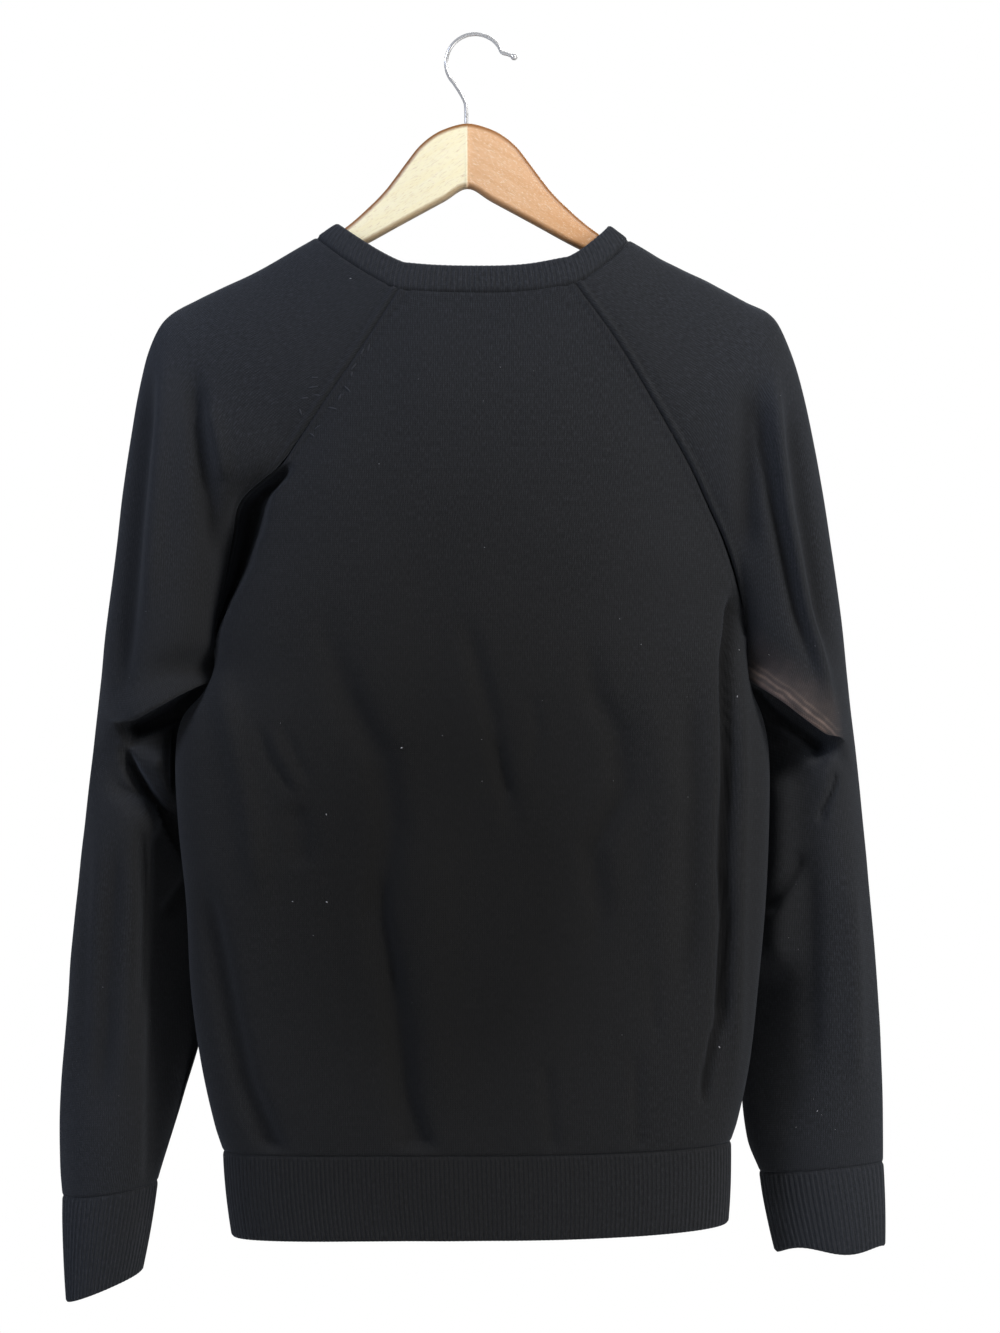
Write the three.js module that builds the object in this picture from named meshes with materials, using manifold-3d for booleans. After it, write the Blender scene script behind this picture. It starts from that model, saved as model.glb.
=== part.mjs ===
// A raglan crew-neck sweater of fine wool knit, hung on a contoured wooden hanger with a wire hook.
// Millimetres, +Z up. The origin is the inside of the hook's top, where the hanger hangs.
// -Y is the garment's back, +Y its front; "left" is -X and "right" is +X.
import * as THREE from "three";
import { mergeVertices } from "three/addons/utils/BufferGeometryUtils.js";
import Module from "manifold-3d";

// ---------- driving dimensions ----------
const clothWall = 2; // thickness of the knitted panels
const ribWall = 2.6; // ribbing is thicker than the plain knit
const seamGap = 0.3; // between pieces that are sewn together
const neckRibDepth = 20; // height of the neck band
const neckRibLean = 0.86; // the band's free edge is this much narrower than its seam
const hangerThickness = 13;
const hangerHalfWidth = 219.5;
const hangerCentreX = -5.5;
const hangerSweep = 45; // the arms' ends lie this far forward of the middle
const wireDiameter = 2.9;
const hookRadius = 21.1; // from the hook's centre to the middle of the wire

const columns = { back: 14, front: 12, sleeveBack: 8, sleeveFront: 7 };

// ---------- the cut: sections of the sleeves and the body ----------
// A sleeve section runs from the back seam over the outside to the front seam.
// s: place along the sleeve (0 neck, 1 underarm, 2 cuff seam)
// back, front: the seam points; side: the outermost point
// leaveBack, leaveFront: how the cloth leaves each seam; roundBack, roundFront: how it reaches the side
const leftSleeve = [
  { s: 0, back: [-55, -17, -185], leaveBack: [-22, 6, 8], roundBack: [0, -18, -4],
    side: [-116, 18, -143], roundFront: [0, 26, -2], leaveFront: [-22, -8, 10], front: [-62, 80, -226] },
  { s: 0.2, back: [-79, -13, -222], leaveBack: [-26, 3, 16], roundBack: [0, -20, -4],
    side: [-160, 31, -166], roundFront: [0, 26, -3], leaveFront: [-26, 0, 18], front: [-84, 84, -258] },
  { s: 0.4, back: [-107, -8, -262], leaveBack: [-30, 1, 18], roundBack: [0, -26, -5],
    side: [-205, 42, -185], roundFront: [0, 26, -5], leaveFront: [-30, 0, 20], front: [-108, 86, -292] },
  { s: 0.55, back: [-128, -1, -292], leaveBack: [-34, -1, 16], roundBack: [-2, -32, -8],
    side: [-230, 46, -200], roundFront: [-2, 28, -8], leaveFront: [-32, 2, 18], front: [-128, 86, -318] },
  { s: 0.65, back: [-144, 6, -313], leaveBack: [-26, -13, 2], roundBack: [-4, -38, -8],
    side: [-242, 49, -222], roundFront: [-3, 30, -8], leaveFront: [-34, 2, 14], front: [-144, 84, -338] },
  { s: 0.75, back: [-172, 25, -336], leaveBack: [-6, -36, 2], roundBack: [-6, -44, -6],
    side: [-250, 51, -255], roundFront: [-4, 32, -6], leaveFront: [-34, 2, 8], front: [-160, 80, -358] },
  { s: 0.85, back: [-179, 35, -364], leaveBack: [-11, -48, 2], roundBack: [-6, -48, -4],
    side: [-259, 52, -310], roundFront: [-4, 32, -4], leaveFront: [-30, 4, 4], front: [-174, 72, -384] },
  { s: 0.93, back: [-187, 39, -402], leaveBack: [-11, -52, 0], roundBack: [-4, -48, -2],
    side: [-267.5, 52, -376], roundFront: [-3, 34, -2], leaveFront: [-22, 14, 2], front: [-187, 58, -412] },
  { s: 1, seam: [-197, 43, -437], leaveBack: [6, -54, 0], roundBack: [-3, -48, 0],
    side: [-276.5, 52, -440], roundFront: [-3, 34, 0], leaveFront: [-4, 34, 0] },
  { s: 1.07, seam: [-191, 66, -452], leaveBack: [-12, -72, -2], roundBack: [8, -52, 2],
    side: [-281, 52, -480], roundFront: [-3, 34, 0], leaveFront: [-4, 32, -4] },
  // the elbow's folded lip, the pocket under it, the small slack triangle and the second fold
  { s: 1.12, seam: [-190, 72, -461], leaveBack: [-2, -86, -7], roundBack: [20, -66, 5],
    side: [-284, 52, -511], roundFront: [-3, 34, 0], leaveFront: [-6, 32, -8] },
  { s: 1.16, seam: [-192, 76, -458], leaveBack: [-12, -58, -6], roundBack: [22, -40, 13],
    side: [-284.2, 52, -514], roundFront: [-3, 34, 0], leaveFront: [-6, 28, -16] },
  { s: 1.2, seam: [-196, 79, -474], leaveBack: [-14, -46, -6], roundBack: [26, -28, 8],
    side: [-284.5, 52, -517], roundFront: [-3, 34, 0], leaveFront: [-6, 24, -20] },
  { s: 1.27, seam: [-204, 81, -528], leaveBack: [-18, -30, -4], roundBack: [34, -40, -4],
    side: [-285, 52, -521], roundFront: [-3, 34, 0], leaveFront: [-8, 16, 0] },
  { s: 1.33, seam: [-207, 84, -586], leaveBack: [-15, -22, 0], roundBack: [39, -12, -27],
    side: [-285.5, 52, -525], roundFront: [-3, 34, 0], leaveFront: [-10, 16, 20] },
  { s: 1.38, seam: [-206, 82, -604], leaveBack: [-18, -32, 0], roundBack: [27, -60, -28],
    side: [-286.5, 52, -534], roundFront: [-3, 34, 0], leaveFront: [-10, 16, 22] },
  { s: 1.52, seam: [-204, 82, -655], leaveBack: [-20, -28, 0], roundBack: [32, -62, 0],
    side: [-299, 52, -640], roundFront: [-3, 36, 0], leaveFront: [-10, 18, 0] },
  { s: 1.7, seam: [-205, 80, -725], leaveBack: [-18, -24, 0], roundBack: [36, -60, 0],
    side: [-305, 52, -722], roundFront: [-3, 36, 0], leaveFront: [-8, 20, 0] },
  { s: 1.84, seam: [-221, 74, -782], leaveBack: [0, -28, 0], roundBack: [38, -52, 0],
    side: [-309.5, 52, -781], roundFront: [-2, 34, 0], leaveFront: [-2, 22, 0] },
  { s: 1.94, seam: [-233, 68, -822], leaveBack: [2, -28, 0], roundBack: [30, -44, 0],
    side: [-309.5, 52, -826], roundFront: [-2, 32, 0], leaveFront: [0, 22, 0] },
  { s: 2, seam: [-238, 64, -841], leaveBack: [2, -24, 0], roundBack: [26, -38, 0],
    side: [-307.5, 52, -850], roundFront: [-2, 28, 0], leaveFront: [2, 20, 0] },
];

const rightSleeve = [
  { s: 0, back: [72, -17, -181], leaveBack: [16, 5, 7], roundBack: [0, -18, -4],
    side: [112, 18, -145], roundFront: [0, 26, -2], leaveFront: [18, -8, 10], front: [66, 80, -224] },
  { s: 0.2, back: [101, -12, -220], leaveBack: [20, 3, 16], roundBack: [0, -20, -4],
    side: [157, 32, -167], roundFront: [0, 26, -3], leaveFront: [24, 0, 18], front: [88, 84, -258] },
  { s: 0.4, back: [126, -5, -260], leaveBack: [26, 0, 18], roundBack: [0, -26, -5],
    side: [199, 43, -186], roundFront: [0, 26, -5], leaveFront: [28, 0, 20], front: [112, 86, -292] },
  { s: 0.55, back: [144, 1, -290], leaveBack: [28, -1, 16], roundBack: [1, -32, -8],
    side: [221, 46, -198], roundFront: [2, 28, -8], leaveFront: [30, 2, 18], front: [131, 86, -318] },
  { s: 0.65, back: [157, 6, -313], leaveBack: [28, -3, 13], roundBack: [3, -38, -8],
    side: [233, 49, -222], roundFront: [3, 30, -8], leaveFront: [32, 2, 14], front: [146, 84, -338] },
  { s: 0.75, back: [170, 12, -340], leaveBack: [26, -7, 9], roundBack: [4, -44, -6],
    side: [242.5, 51, -255], roundFront: [4, 32, -6], leaveFront: [32, 2, 8], front: [161, 80, -358] },
  { s: 0.85, back: [183, 19, -368], leaveBack: [22, -13, 5], roundBack: [4, -48, -4],
    side: [253.5, 52, -310], roundFront: [4, 32, -4], leaveFront: [28, 4, 4], front: [175, 72, -384] },
  { s: 0.93, back: [194, 29, -400], leaveBack: [14, -24, 2], roundBack: [4, -48, -2],
    side: [264.5, 52, -376], roundFront: [3, 34, -2], leaveFront: [20, 14, 2], front: [190, 56, -410] },
  { s: 1, seam: [203, 42, -434], leaveBack: [2, -44, 0], roundBack: [3, -48, 0],
    side: [274, 52, -440], roundFront: [3, 34, 0], leaveFront: [4, 34, 0] },
  { s: 1.07, seam: [198, 66, -450], leaveBack: [8, -70, -2], roundBack: [-8, -54, 4],
    side: [279.5, 52, -488], roundFront: [3, 34, 0], leaveFront: [4, 32, -4] },
  // the elbow's folded lip and the pocket under it
  { s: 1.12, seam: [198, 72, -459], leaveBack: [4, -84, -3], roundBack: [-14, -66, 28],
    side: [284.5, 52, -532], roundFront: [3, 34, 0], leaveFront: [6, 32, -8] },
  { s: 1.16, seam: [200, 76, -456], leaveBack: [12, -58, -4], roundBack: [-16, -42, 34],
    side: [284.8, 52, -535], roundFront: [3, 34, 0], leaveFront: [6, 28, -16] },
  { s: 1.2, seam: [203, 79, -472], leaveBack: [12, -46, -6], roundBack: [-20, -28, 27],
    side: [285, 52, -538], roundFront: [3, 34, 0], leaveFront: [6, 24, -24] },
  { s: 1.27, seam: [206, 81, -503], leaveBack: [16, -32, -2], roundBack: [-22, -58, 17],
    side: [285.5, 52, -543], roundFront: [3, 34, 0], leaveFront: [8, 18, -20] },
  { s: 1.38, seam: [207, 82, -560], leaveBack: [15, -28, 0], roundBack: [-22, -62, 4],
    side: [288, 52, -572], roundFront: [3, 34, 0], leaveFront: [10, 16, 0] },
  { s: 1.52, seam: [205, 82, -628], leaveBack: [16, -28, 0], roundBack: [-26, -62, 0],
    side: [293, 52, -626], roundFront: [3, 36, 0], leaveFront: [10, 18, 0] },
  { s: 1.7, seam: [203, 80, -705], leaveBack: [16, -26, 0], roundBack: [-30, -60, 0],
    side: [299, 52, -702], roundFront: [3, 36, 0], leaveFront: [8, 20, 0] },
  { s: 1.84, seam: [199, 76, -765], leaveBack: [10, -24, 0], roundBack: [-32, -52, 0],
    side: [302, 52, -762], roundFront: [2, 34, 0], leaveFront: [4, 22, 0] },
  { s: 1.94, seam: [203, 70, -810], leaveBack: [0, -26, 0], roundBack: [-32, -44, 0],
    side: [303, 52, -802], roundFront: [2, 28, 0], leaveFront: [0, 20, 0] },
  { s: 2, seam: [212, 65, -834], leaveBack: [0, -24, 0], roundBack: [-30, -36, 0],
    side: [303, 52, -825], roundFront: [2, 22, 0], leaveFront: [-2, 16, 0] },
];

// Above the underarm the panels share the sleeves' seam points. Each row has its middle on the back or
// the front, and how the cloth nears the left and the right raglan seam.
const backYoke = [
  { s: 0, middle: [8, -20, -188], nearLeft: [18, -2, -2], nearRight: [-18, -2, -3] },
  { s: 0.2, middle: [8, -22, -221], nearLeft: [24, -4, 0], nearRight: [-26, -4, 0] },
  { s: 0.4, middle: [8, -24, -261], nearLeft: [32, -7, 0], nearRight: [-34, -8, 0] },
  { s: 0.55, middle: [8, -25, -291], nearLeft: [34, -12, 0], nearRight: [-38, -12, 0] },
  { s: 0.65, middle: [8, -25, -313], nearLeft: [26, -18, 0], nearRight: [-40, -15, 0] },
  { s: 0.75, middle: [6, -25, -338], nearLeft: [18, -34, 0], nearRight: [-40, -19, 0] },
  { s: 0.85, middle: [4, -25, -366], nearLeft: [16, -44, 0], nearRight: [-36, -26, 0] },
  { s: 0.93, middle: [3, -24, -401], nearLeft: [11, -52, 0], nearRight: [-26, -36, 0] },
  { s: 1, middle: [2, -24, -435], nearLeft: [2, -50, 0], nearRight: [-6, -46, 0] },
];
const frontYoke = [
  { s: 0, middle: [2, 86, -242], nearLeft: [22, 3, -10], nearRight: [-22, 3, -10] },
  { s: 0.2, middle: [2, 90, -272], nearLeft: [26, 2, -6], nearRight: [-26, 2, -6] },
  { s: 0.4, middle: [2, 93, -300], nearLeft: [32, 3, 0], nearRight: [-32, 3, 0] },
  { s: 0.55, middle: [2, 95, -322], nearLeft: [36, 5, 0], nearRight: [-36, 5, 0] },
  { s: 0.65, middle: [2, 96, -341], nearLeft: [38, 8, 0], nearRight: [-38, 8, 0] },
  { s: 0.75, middle: [2, 96, -361], nearLeft: [38, 12, 0], nearRight: [-38, 12, 0] },
  { s: 0.85, middle: [2, 96, -386], nearLeft: [34, 20, 0], nearRight: [-34, 20, 0] },
  { s: 0.93, middle: [2, 96, -411], nearLeft: [22, 32, 0], nearRight: [-22, 32, 0] },
  { s: 1, middle: [2, 96, -436], nearLeft: [3, 46, 0], nearRight: [-3, 46, 0] },
];
// Below the underarm: side seams and how far the back and the front stand off from them.
const body = [
  { s: 1, left: [-196.5, 43, -437], right: [202.5, 42, -434], backY: -24, frontY: 96 },
  { s: 1.06, left: [-191.5, 42, -458], right: [201, 41, -457], backY: -24, frontY: 96 },
  { s: 1.1, left: [-194.5, 41, -474], right: [204, 39, -475], backY: -23.5, frontY: 96 },
  { s: 1.16, left: [-215, 38, -494], right: [212, 37, -494], backY: -23, frontY: 96 },
  { s: 1.23, left: [-221.5, 36, -520], right: [216.5, 36, -520], backY: -22, frontY: 95 },
  { s: 1.36, left: [-219.5, 36, -572], right: [216.5, 36, -572], backY: -21, frontY: 94 },
  { s: 1.5, left: [-213.5, 36, -630], right: [214, 36, -630], backY: -20, frontY: 92 },
  { s: 1.68, left: [-210, 36, -695], right: [208.5, 36, -692], backY: -19, frontY: 88 },
  { s: 1.84, left: [-202, 36, -752], right: [202, 36, -750], backY: -18, frontY: 84 },
  { s: 1.95, left: [-192, 35, -796], right: [193, 35, -792], backY: -18, frontY: 80 },
  { s: 2, left: [-186, 34, -813], right: [188, 34, -806], backY: -16, frontY: 76 },
];
const hemEdge = { left: [-179.5, 34, -876], right: [186, 34, -866], backY: -14, frontY: 74 };
const bodyFullness = { middle: 0.55, side: 0.78 }; // how square the body's section is
const yokeEasing = { reach: 1 / 6, leanLeft: 2, leanRight: -5 }; // the yoke's last row eases into the side seams

const leftCuffEdge = {
  seam: [-249, 60, -908], leaveBack: [0, -18, -2], roundBack: [8, -24, 2],
  side: [-304.5, 50, -929], roundFront: [2, 24, 2], leaveFront: [0, 14, -2],
};
const rightCuffEdge = {
  seam: [223, 58, -890], leaveBack: [0, -20, -4], roundBack: [-18, -26, 6],
  side: [305, 52, -891], roundFront: [0, 20, 4], leaveFront: [0, 14, -4],
};

// ---------- curves ----------
const vec = (p) => new THREE.Vector3(...p);
const mix = THREE.MathUtils.lerp;

// A smooth value between stations; every field of the stations is a list of numbers or a number.
function between(stations, s, field) {
  const last = stations.length - 1;
  let i = 0;
  while (i < last - 1 && stations[i + 1].s < s) i += 1;
  const [a, b] = [stations[i], stations[i + 1]];
  const [before, after] = [stations[Math.max(i - 1, 0)], stations[Math.min(i + 2, last)]];
  const t = (s - a.s) / (b.s - a.s);
  const hermite = (p0, p1, p2, p3) => {
    const span = b.s - a.s;
    const m1 = before === a ? (p2 - p1) / span : (p2 - p0) / (b.s - before.s);
    const m2 = after === b ? (p2 - p1) / span : (p3 - p1) / (after.s - a.s);
    const [t2, t3] = [t * t, t * t * t];
    return (2 * t3 - 3 * t2 + 1) * p1 + (t3 - 2 * t2 + t) * span * m1
      + (3 * t2 - 2 * t3) * p2 + (t3 - t2) * span * m2;
  };
  const pick = (station, k) => (typeof station[field] === "number" ? station[field] : station[field][k]);
  const size = typeof a[field] === "number" ? 1 : a[field].length;
  const out = [];
  for (let k = 0; k < size; k += 1) out.push(hermite(pick(before, k), pick(a, k), pick(b, k), pick(after, k)));
  return size === 1 ? out[0] : vec(out);
}

function bezier(points, t) {
  return new THREE.CubicBezierCurve3(...points).getPoint(t);
}

// ---------- surfaces: a function of (u, s) that gives a point ----------
for (const sleeve of [leftSleeve, rightSleeve])
  for (const section of sleeve) {
    section.back ??= section.seam;
    section.front ??= section.seam;
  }

function sectionPoint(section, u) {
  const side = section.side;
  if (u <= 0.5) {
    const points = [
      section.back, section.back.clone().add(section.leaveBack), side.clone().add(section.roundBack), side,
    ];
    return bezier(points, u * 2);
  }
  const points = [
    side, side.clone().add(section.roundFront), section.front.clone().add(section.leaveFront), section.front,
  ];
  return bezier(points, u * 2 - 1);
}

const sectionFields = ["back", "leaveBack", "roundBack", "side", "roundFront", "leaveFront", "front"];

function sleeveSurface(stations) {
  return (u, s) => {
    const section = {};
    for (const field of sectionFields) section[field] = between(stations, s, field);
    return sectionPoint(section, u);
  };
}

function sectionFromPoints(edge) {
  const section = {};
  for (const field of sectionFields) section[field] = vec(edge[field] ?? edge.seam);
  return section;
}

// One half of a body row, from the side or raglan seam to the middle.
function halfRow(seam, nearSeam, middle, share, t) {
  const nearMiddle = middle.clone();
  nearMiddle.x += (seam.x - middle.x) * share;
  return bezier([seam, seam.clone().add(nearSeam), nearMiddle, middle], t);
}

function bodyRow(left, right, y, u, middleX, leanLeft = 0, leanRight = 0) {
  const reach = (y - left.y) * bodyFullness.side;
  const middle = left.clone().lerp(right, 0.5).setY(y);
  middle.x = middleX ?? middle.x;
  return u <= 0.5
    ? halfRow(left, vec([leanLeft, reach, 0]), middle, bodyFullness.middle, u * 2)
    : halfRow(right, vec([leanRight, reach, 0]), middle, bodyFullness.middle, 2 - u * 2);
}

function yokeRow(yoke, field, s, u) {
  const left = between(leftSleeve, s, field);
  const right = between(rightSleeve, s, field);
  const meeting = THREE.MathUtils.smoothstep(s, 0.9, 1); // the raglan seams run into the side seams
  left.lerp(vec(body[0].left), meeting);
  right.lerp(vec(body[0].right), meeting);
  const middle = between(yoke, s, "middle");
  return u <= 0.5
    ? halfRow(left, between(yoke, s, "nearLeft"), middle, bodyFullness.middle, u * 2)
    : halfRow(right, between(yoke, s, "nearRight"), middle, bodyFullness.middle, 2 - u * 2);
}

function panelSurface(yoke, face) {
  const isBack = face === "back";
  return (u, s) => {
    if (s <= 1) return yokeRow(yoke, face, s, u);
    const left = between(body, s, "left");
    const right = between(body, s, "right");
    const y = between(body, s, isBack ? "backY" : "frontY");
    const fromYoke = Math.max(1 - (s - 1) / yokeEasing.reach, 0);
    const middleX = mix((left.x + right.x) / 2, yoke.at(-1).middle[0], fromYoke);
    return bodyRow(left, right, y, u, middleX, yokeEasing.leanLeft * fromYoke, yokeEasing.leanRight * fromYoke);
  };
}

const surfaces = {
  back: panelSurface(backYoke, "back"),
  front: panelSurface(frontYoke, "front"),
  left: sleeveSurface(leftSleeve),
  right: sleeveSurface(rightSleeve),
};

// ---------- walls ----------
const evenly = (from, to, count) => Array.from({ length: count + 1 }, (_, i) => mix(from, to, i / count));
const stationsOf = (list) => list.map((station) => station.s);

// A grid of outer points and outward normals. outward is the way the middle of the piece faces.
function gridOf(surface, us, ss, outward) {
  const step = 1e-3;
  const [sFrom, sTo] = [ss[0], ss.at(-1)];
  const spotAt = (u, s) => {
    const [u0, u1] = [Math.max(u - step, 0), Math.min(u + step, 1)];
    const [s0, s1] = [Math.max(s - step, sFrom), Math.min(s + step, sTo)];
    const across = surface(u1, s).sub(surface(u0, s));
    const along = surface(u, s1).sub(surface(u, s0));
    return { point: surface(u, s), normal: along.cross(across).normalize() };
  };
  const turn = Math.sign(spotAt(0.5, mix(sFrom, sTo, 0.9)).normal.dot(vec(outward)));
  return ss.map((s) => us.map((u) => {
    const spot = spotAt(u, s);
    spot.normal.multiplyScalar(turn);
    return spot;
  }));
}

// A closed band between two or more rings of points, facing away from its own middle.
function bandGrid(rings) {
  const middle = rings[0].reduce((sum, p) => sum.add(p), new THREE.Vector3()).divideScalar(rings[0].length);
  return rings.map((ring, i) => ring.map((point, j) => {
    const across = ring[(j + 1) % ring.length].clone().sub(ring.at(j - 1));
    const along = rings[Math.min(i + 1, rings.length - 1)][j].clone().sub(rings[Math.max(i - 1, 0)][j]);
    const normal = along.cross(across).normalize();
    const away = point.clone().sub(middle).setZ(0);
    if (normal.dot(away) < 0) normal.negate();
    return { point: point.clone(), normal };
  }));
}

// Where two pieces are sewn together their edges share one direction, so their walls end face to face.
function shareEdgeNormals(grids) {
  const edges = [];
  for (const grid of grids)
    grid.forEach((row, i) => row.forEach((spot, j) => {
      const onEdge = i === 0 || i === grid.length - 1 || j === 0 || j === row.length - 1;
      if (onEdge) edges.push(spot);
    }));
  const sewnReach = 0.6;
  const sameSide = 0.3;
  const shared = edges.map((spot) => {
    const sum = spot.normal.clone();
    for (const other of edges) {
      const near = other !== spot && other.point.distanceTo(spot.point) < sewnReach;
      if (near && other.normal.dot(spot.normal) > sameSide) sum.add(other.normal);
    }
    return sum.normalize();
  });
  edges.forEach((spot, i) => spot.normal.copy(shared[i]));
}

// A closed wall from a grid: outer face, inner face and the edges. A ring's columns close on themselves.
function wallGeometry(grid, thickness, ring = false) {
  const rows = grid.length;
  const cols = grid[0].length;
  const positions = [];
  for (const depth of [0, thickness])
    grid.forEach((row, i) => row.forEach((spot, j) => {
      const point = spot.point.clone();
      const pullTo = (other) => {
        point.addScaledVector(other.point.clone().sub(spot.point).normalize(), seamGap / 2);
      };
      if (i === 0) pullTo(grid[1][j]);
      if (i === rows - 1) pullTo(grid[rows - 2][j]);
      if (!ring && j === 0) pullTo(row[1]);
      if (!ring && j === cols - 1) pullTo(row[cols - 2]);
      const rolledIn = !ring && (j === 0 || j === cols - 1) ? seamGap / 2 : 0; // clear where a fold closes on its seam
      point.addScaledVector(spot.normal, -depth - rolledIn);
      positions.push(point.x, point.y, point.z);
    }));
  const index = [];
  const at = (i, j, inner) => (inner ? rows * cols : 0) + i * cols + (j % cols);
  const quad = (a, b, c, d) => index.push(a, b, c, a, c, d);
  const spans = ring ? cols : cols - 1;
  for (let j = 0; j < spans; j += 1) {
    for (let i = 0; i < rows - 1; i += 1) {
      quad(at(i, j), at(i + 1, j), at(i + 1, j + 1), at(i, j + 1));
      quad(at(i, j, 1), at(i, j + 1, 1), at(i + 1, j + 1, 1), at(i + 1, j, 1));
    }
    quad(at(0, j), at(0, j + 1), at(0, j + 1, 1), at(0, j, 1));
    quad(at(rows - 1, j), at(rows - 1, j, 1), at(rows - 1, j + 1, 1), at(rows - 1, j + 1));
  }
  for (let i = 0; !ring && i < rows - 1; i += 1) {
    quad(at(i, 0), at(i, 0, 1), at(i + 1, 0, 1), at(i + 1, 0));
    quad(at(i, spans), at(i + 1, spans), at(i + 1, spans, 1), at(i, spans, 1));
  }
  const geometry = new THREE.BufferGeometry();
  geometry.setAttribute("position", new THREE.Float32BufferAttribute(positions, 3));
  geometry.setIndex(index);
  return faceOut(geometry);
}

// Turns every face round if the wall came out inside out.
function faceOut(geometry) {
  const places = geometry.getAttribute("position");
  const corner = (k) => new THREE.Vector3().fromBufferAttribute(places, geometry.index.getX(k));
  let volume = 0;
  for (let k = 0; k < geometry.index.count; k += 3)
    volume += corner(k).dot(corner(k + 1).cross(corner(k + 2)));
  if (volume < 0) geometry.setIndex(Array.from(geometry.index.array).reverse());
  geometry.computeVertexNormals();
  return geometry;
}

// ---------- the knitted pieces ----------
const yokeRows = stationsOf(backYoke);
const bodyRows = stationsOf(body);
const sleeveRows = [0, 0.1, ...stationsOf(leftSleeve).slice(1)];
const backUs = evenly(0, 1, columns.back);
const frontUs = evenly(0, 1, columns.front);
const sleeveUs = [...evenly(0, 0.5, columns.sleeveBack), ...evenly(0.5, 1, columns.sleeveFront).slice(1)];
const panelRows = [...new Set([0, 0.1, ...yokeRows.slice(1), ...bodyRows])];

const grids = {
  back_panel: gridOf(surfaces.back, backUs, panelRows, [0, -1, 0]),
  front_panel: gridOf(surfaces.front, frontUs, panelRows, [0, 1, 0]),
  sleeve_left: gridOf(surfaces.left, sleeveUs, sleeveRows, [-1, 0, 0]),
  sleeve_right: gridOf(surfaces.right, sleeveUs, sleeveRows, [1, 0, 0]),
};

const rowPoints = (grid, i) => grid.at(i).map((spot) => spot.point);

function neckBand() {
  const around = [
    ...rowPoints(grids.back_panel, 0).slice(0, -1),
    ...rowPoints(grids.sleeve_right, 0).slice(0, -1),
    ...rowPoints(grids.front_panel, 0).reverse().slice(0, -1),
    ...rowPoints(grids.sleeve_left, 0).reverse().slice(0, -1),
  ];
  const [backY, sideY, frontY] = [-20, 18, 86]; // how far back and front the neck seam reaches
  const sideRise = neckRibDepth * 0.48; // over the shoulders the band lies nearly flat
  const leanUpright = 0.93; // at the back and the front it stands straighter
  const [backLean, frontLean] = [5, -7]; // and its edge leans this far in
  const edge = around.map((p) => {
    const upright = p.y < sideY ? (sideY - p.y) / (sideY - backY) : (p.y - sideY) / (frontY - sideY);
    const share = Math.sin(THREE.MathUtils.clamp(upright, 0, 1) * Math.PI / 2);
    const inward = p.y < sideY ? backLean : frontLean;
    const across = mix(neckRibLean, leanUpright, share);
    return vec([p.x * across, p.y + inward * share, p.z + mix(sideRise, neckRibDepth, share)]);
  });
  const bulge = 1.2;
  const halfway = around.map((p, i) => {
    const q = p.clone().lerp(edge[i], 0.5);
    const away = q.clone().setZ(0).sub(vec([0, (backY + frontY) / 2, 0])).normalize();
    return q.addScaledVector(away, bulge);
  });
  return bandGrid([around, halfway, edge]);
}

function hemBand() {
  const around = [
    ...rowPoints(grids.back_panel, -1).slice(0, -1), ...rowPoints(grids.front_panel, -1).reverse().slice(0, -1),
  ];
  const [left, right] = [vec(hemEdge.left), vec(hemEdge.right)];
  const edge = [
    ...backUs.slice(0, -1).map((u) => bodyRow(left, right, hemEdge.backY, u)),
    ...[...frontUs].reverse().slice(0, -1).map((u) => bodyRow(left, right, hemEdge.frontY, u)),
  ];
  return bandGrid([around, around.map((p, i) => p.clone().lerp(edge[i], 0.5)), edge]);
}

const cuffWaves = 3; // ripples round a cuff's free edge

function cuffBand(sleeve, edgePlan, wave) {
  const around = rowPoints(sleeve, -1).slice(0, -1);
  const edgeSection = sectionFromPoints(edgePlan);
  const edge = sleeveUs.slice(0, -1).map((u) => {
    const p = sectionPoint(edgeSection, u);
    return p.setZ(p.z + wave * Math.cos(u * Math.PI * 2 * cuffWaves));
  });
  return bandGrid([around, around.map((p, i) => p.clone().lerp(edge[i], 0.5)), edge]);
}

grids.neck_rib = neckBand();
grids.hem_rib = hemBand();
grids.cuff_left = cuffBand(grids.sleeve_left, leftCuffEdge, 0);
grids.cuff_right = cuffBand(grids.sleeve_right, rightCuffEdge, -3);
shareEdgeNormals(Object.values(grids));

const wool = new THREE.MeshStandardMaterial({ color: 0x26272b, roughness: 0.95, metalness: 0, name: "wool_jersey" });
const wood = new THREE.MeshStandardMaterial({ color: 0xdcbf94, roughness: 0.4, metalness: 0, name: "beech" });
const chrome = new THREE.MeshStandardMaterial({ color: 0xd8dade, roughness: 0.15, metalness: 1, name: "chrome_wire" });

const sweater = new THREE.Group();
for (const [name, grid] of Object.entries(grids)) {
  const isRib = name.includes("rib") || name.includes("cuff");
  const mesh = new THREE.Mesh(wallGeometry(grid, isRib ? ribWall : clothWall, isRib), wool);
  mesh.name = name;
  sweater.add(mesh);
}

// ---------- the hanger ----------
// Half of its outline, from the notch under the middle, out along the underside, back over the top:
// distance from the middle, height
const hangerOutline = [
  [18, -120], [49, -136], [72, -148], [100, -161.5], [150, -187], [198, -209], [213, -214.5],
  [219.5, -208], [211, -200], [192, -191.5], [162, -178.5], [137, -167], [111, -151.5], [87, -135.5],
  [70, -121], [60, -111], [52, -101], [44, -90.5], [35, -79.5], [24, -71], [12, -66],
];
const notch = new THREE.Vector2(0, -110.5);
const crown = new THREE.Vector2(0, -63.8);

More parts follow.
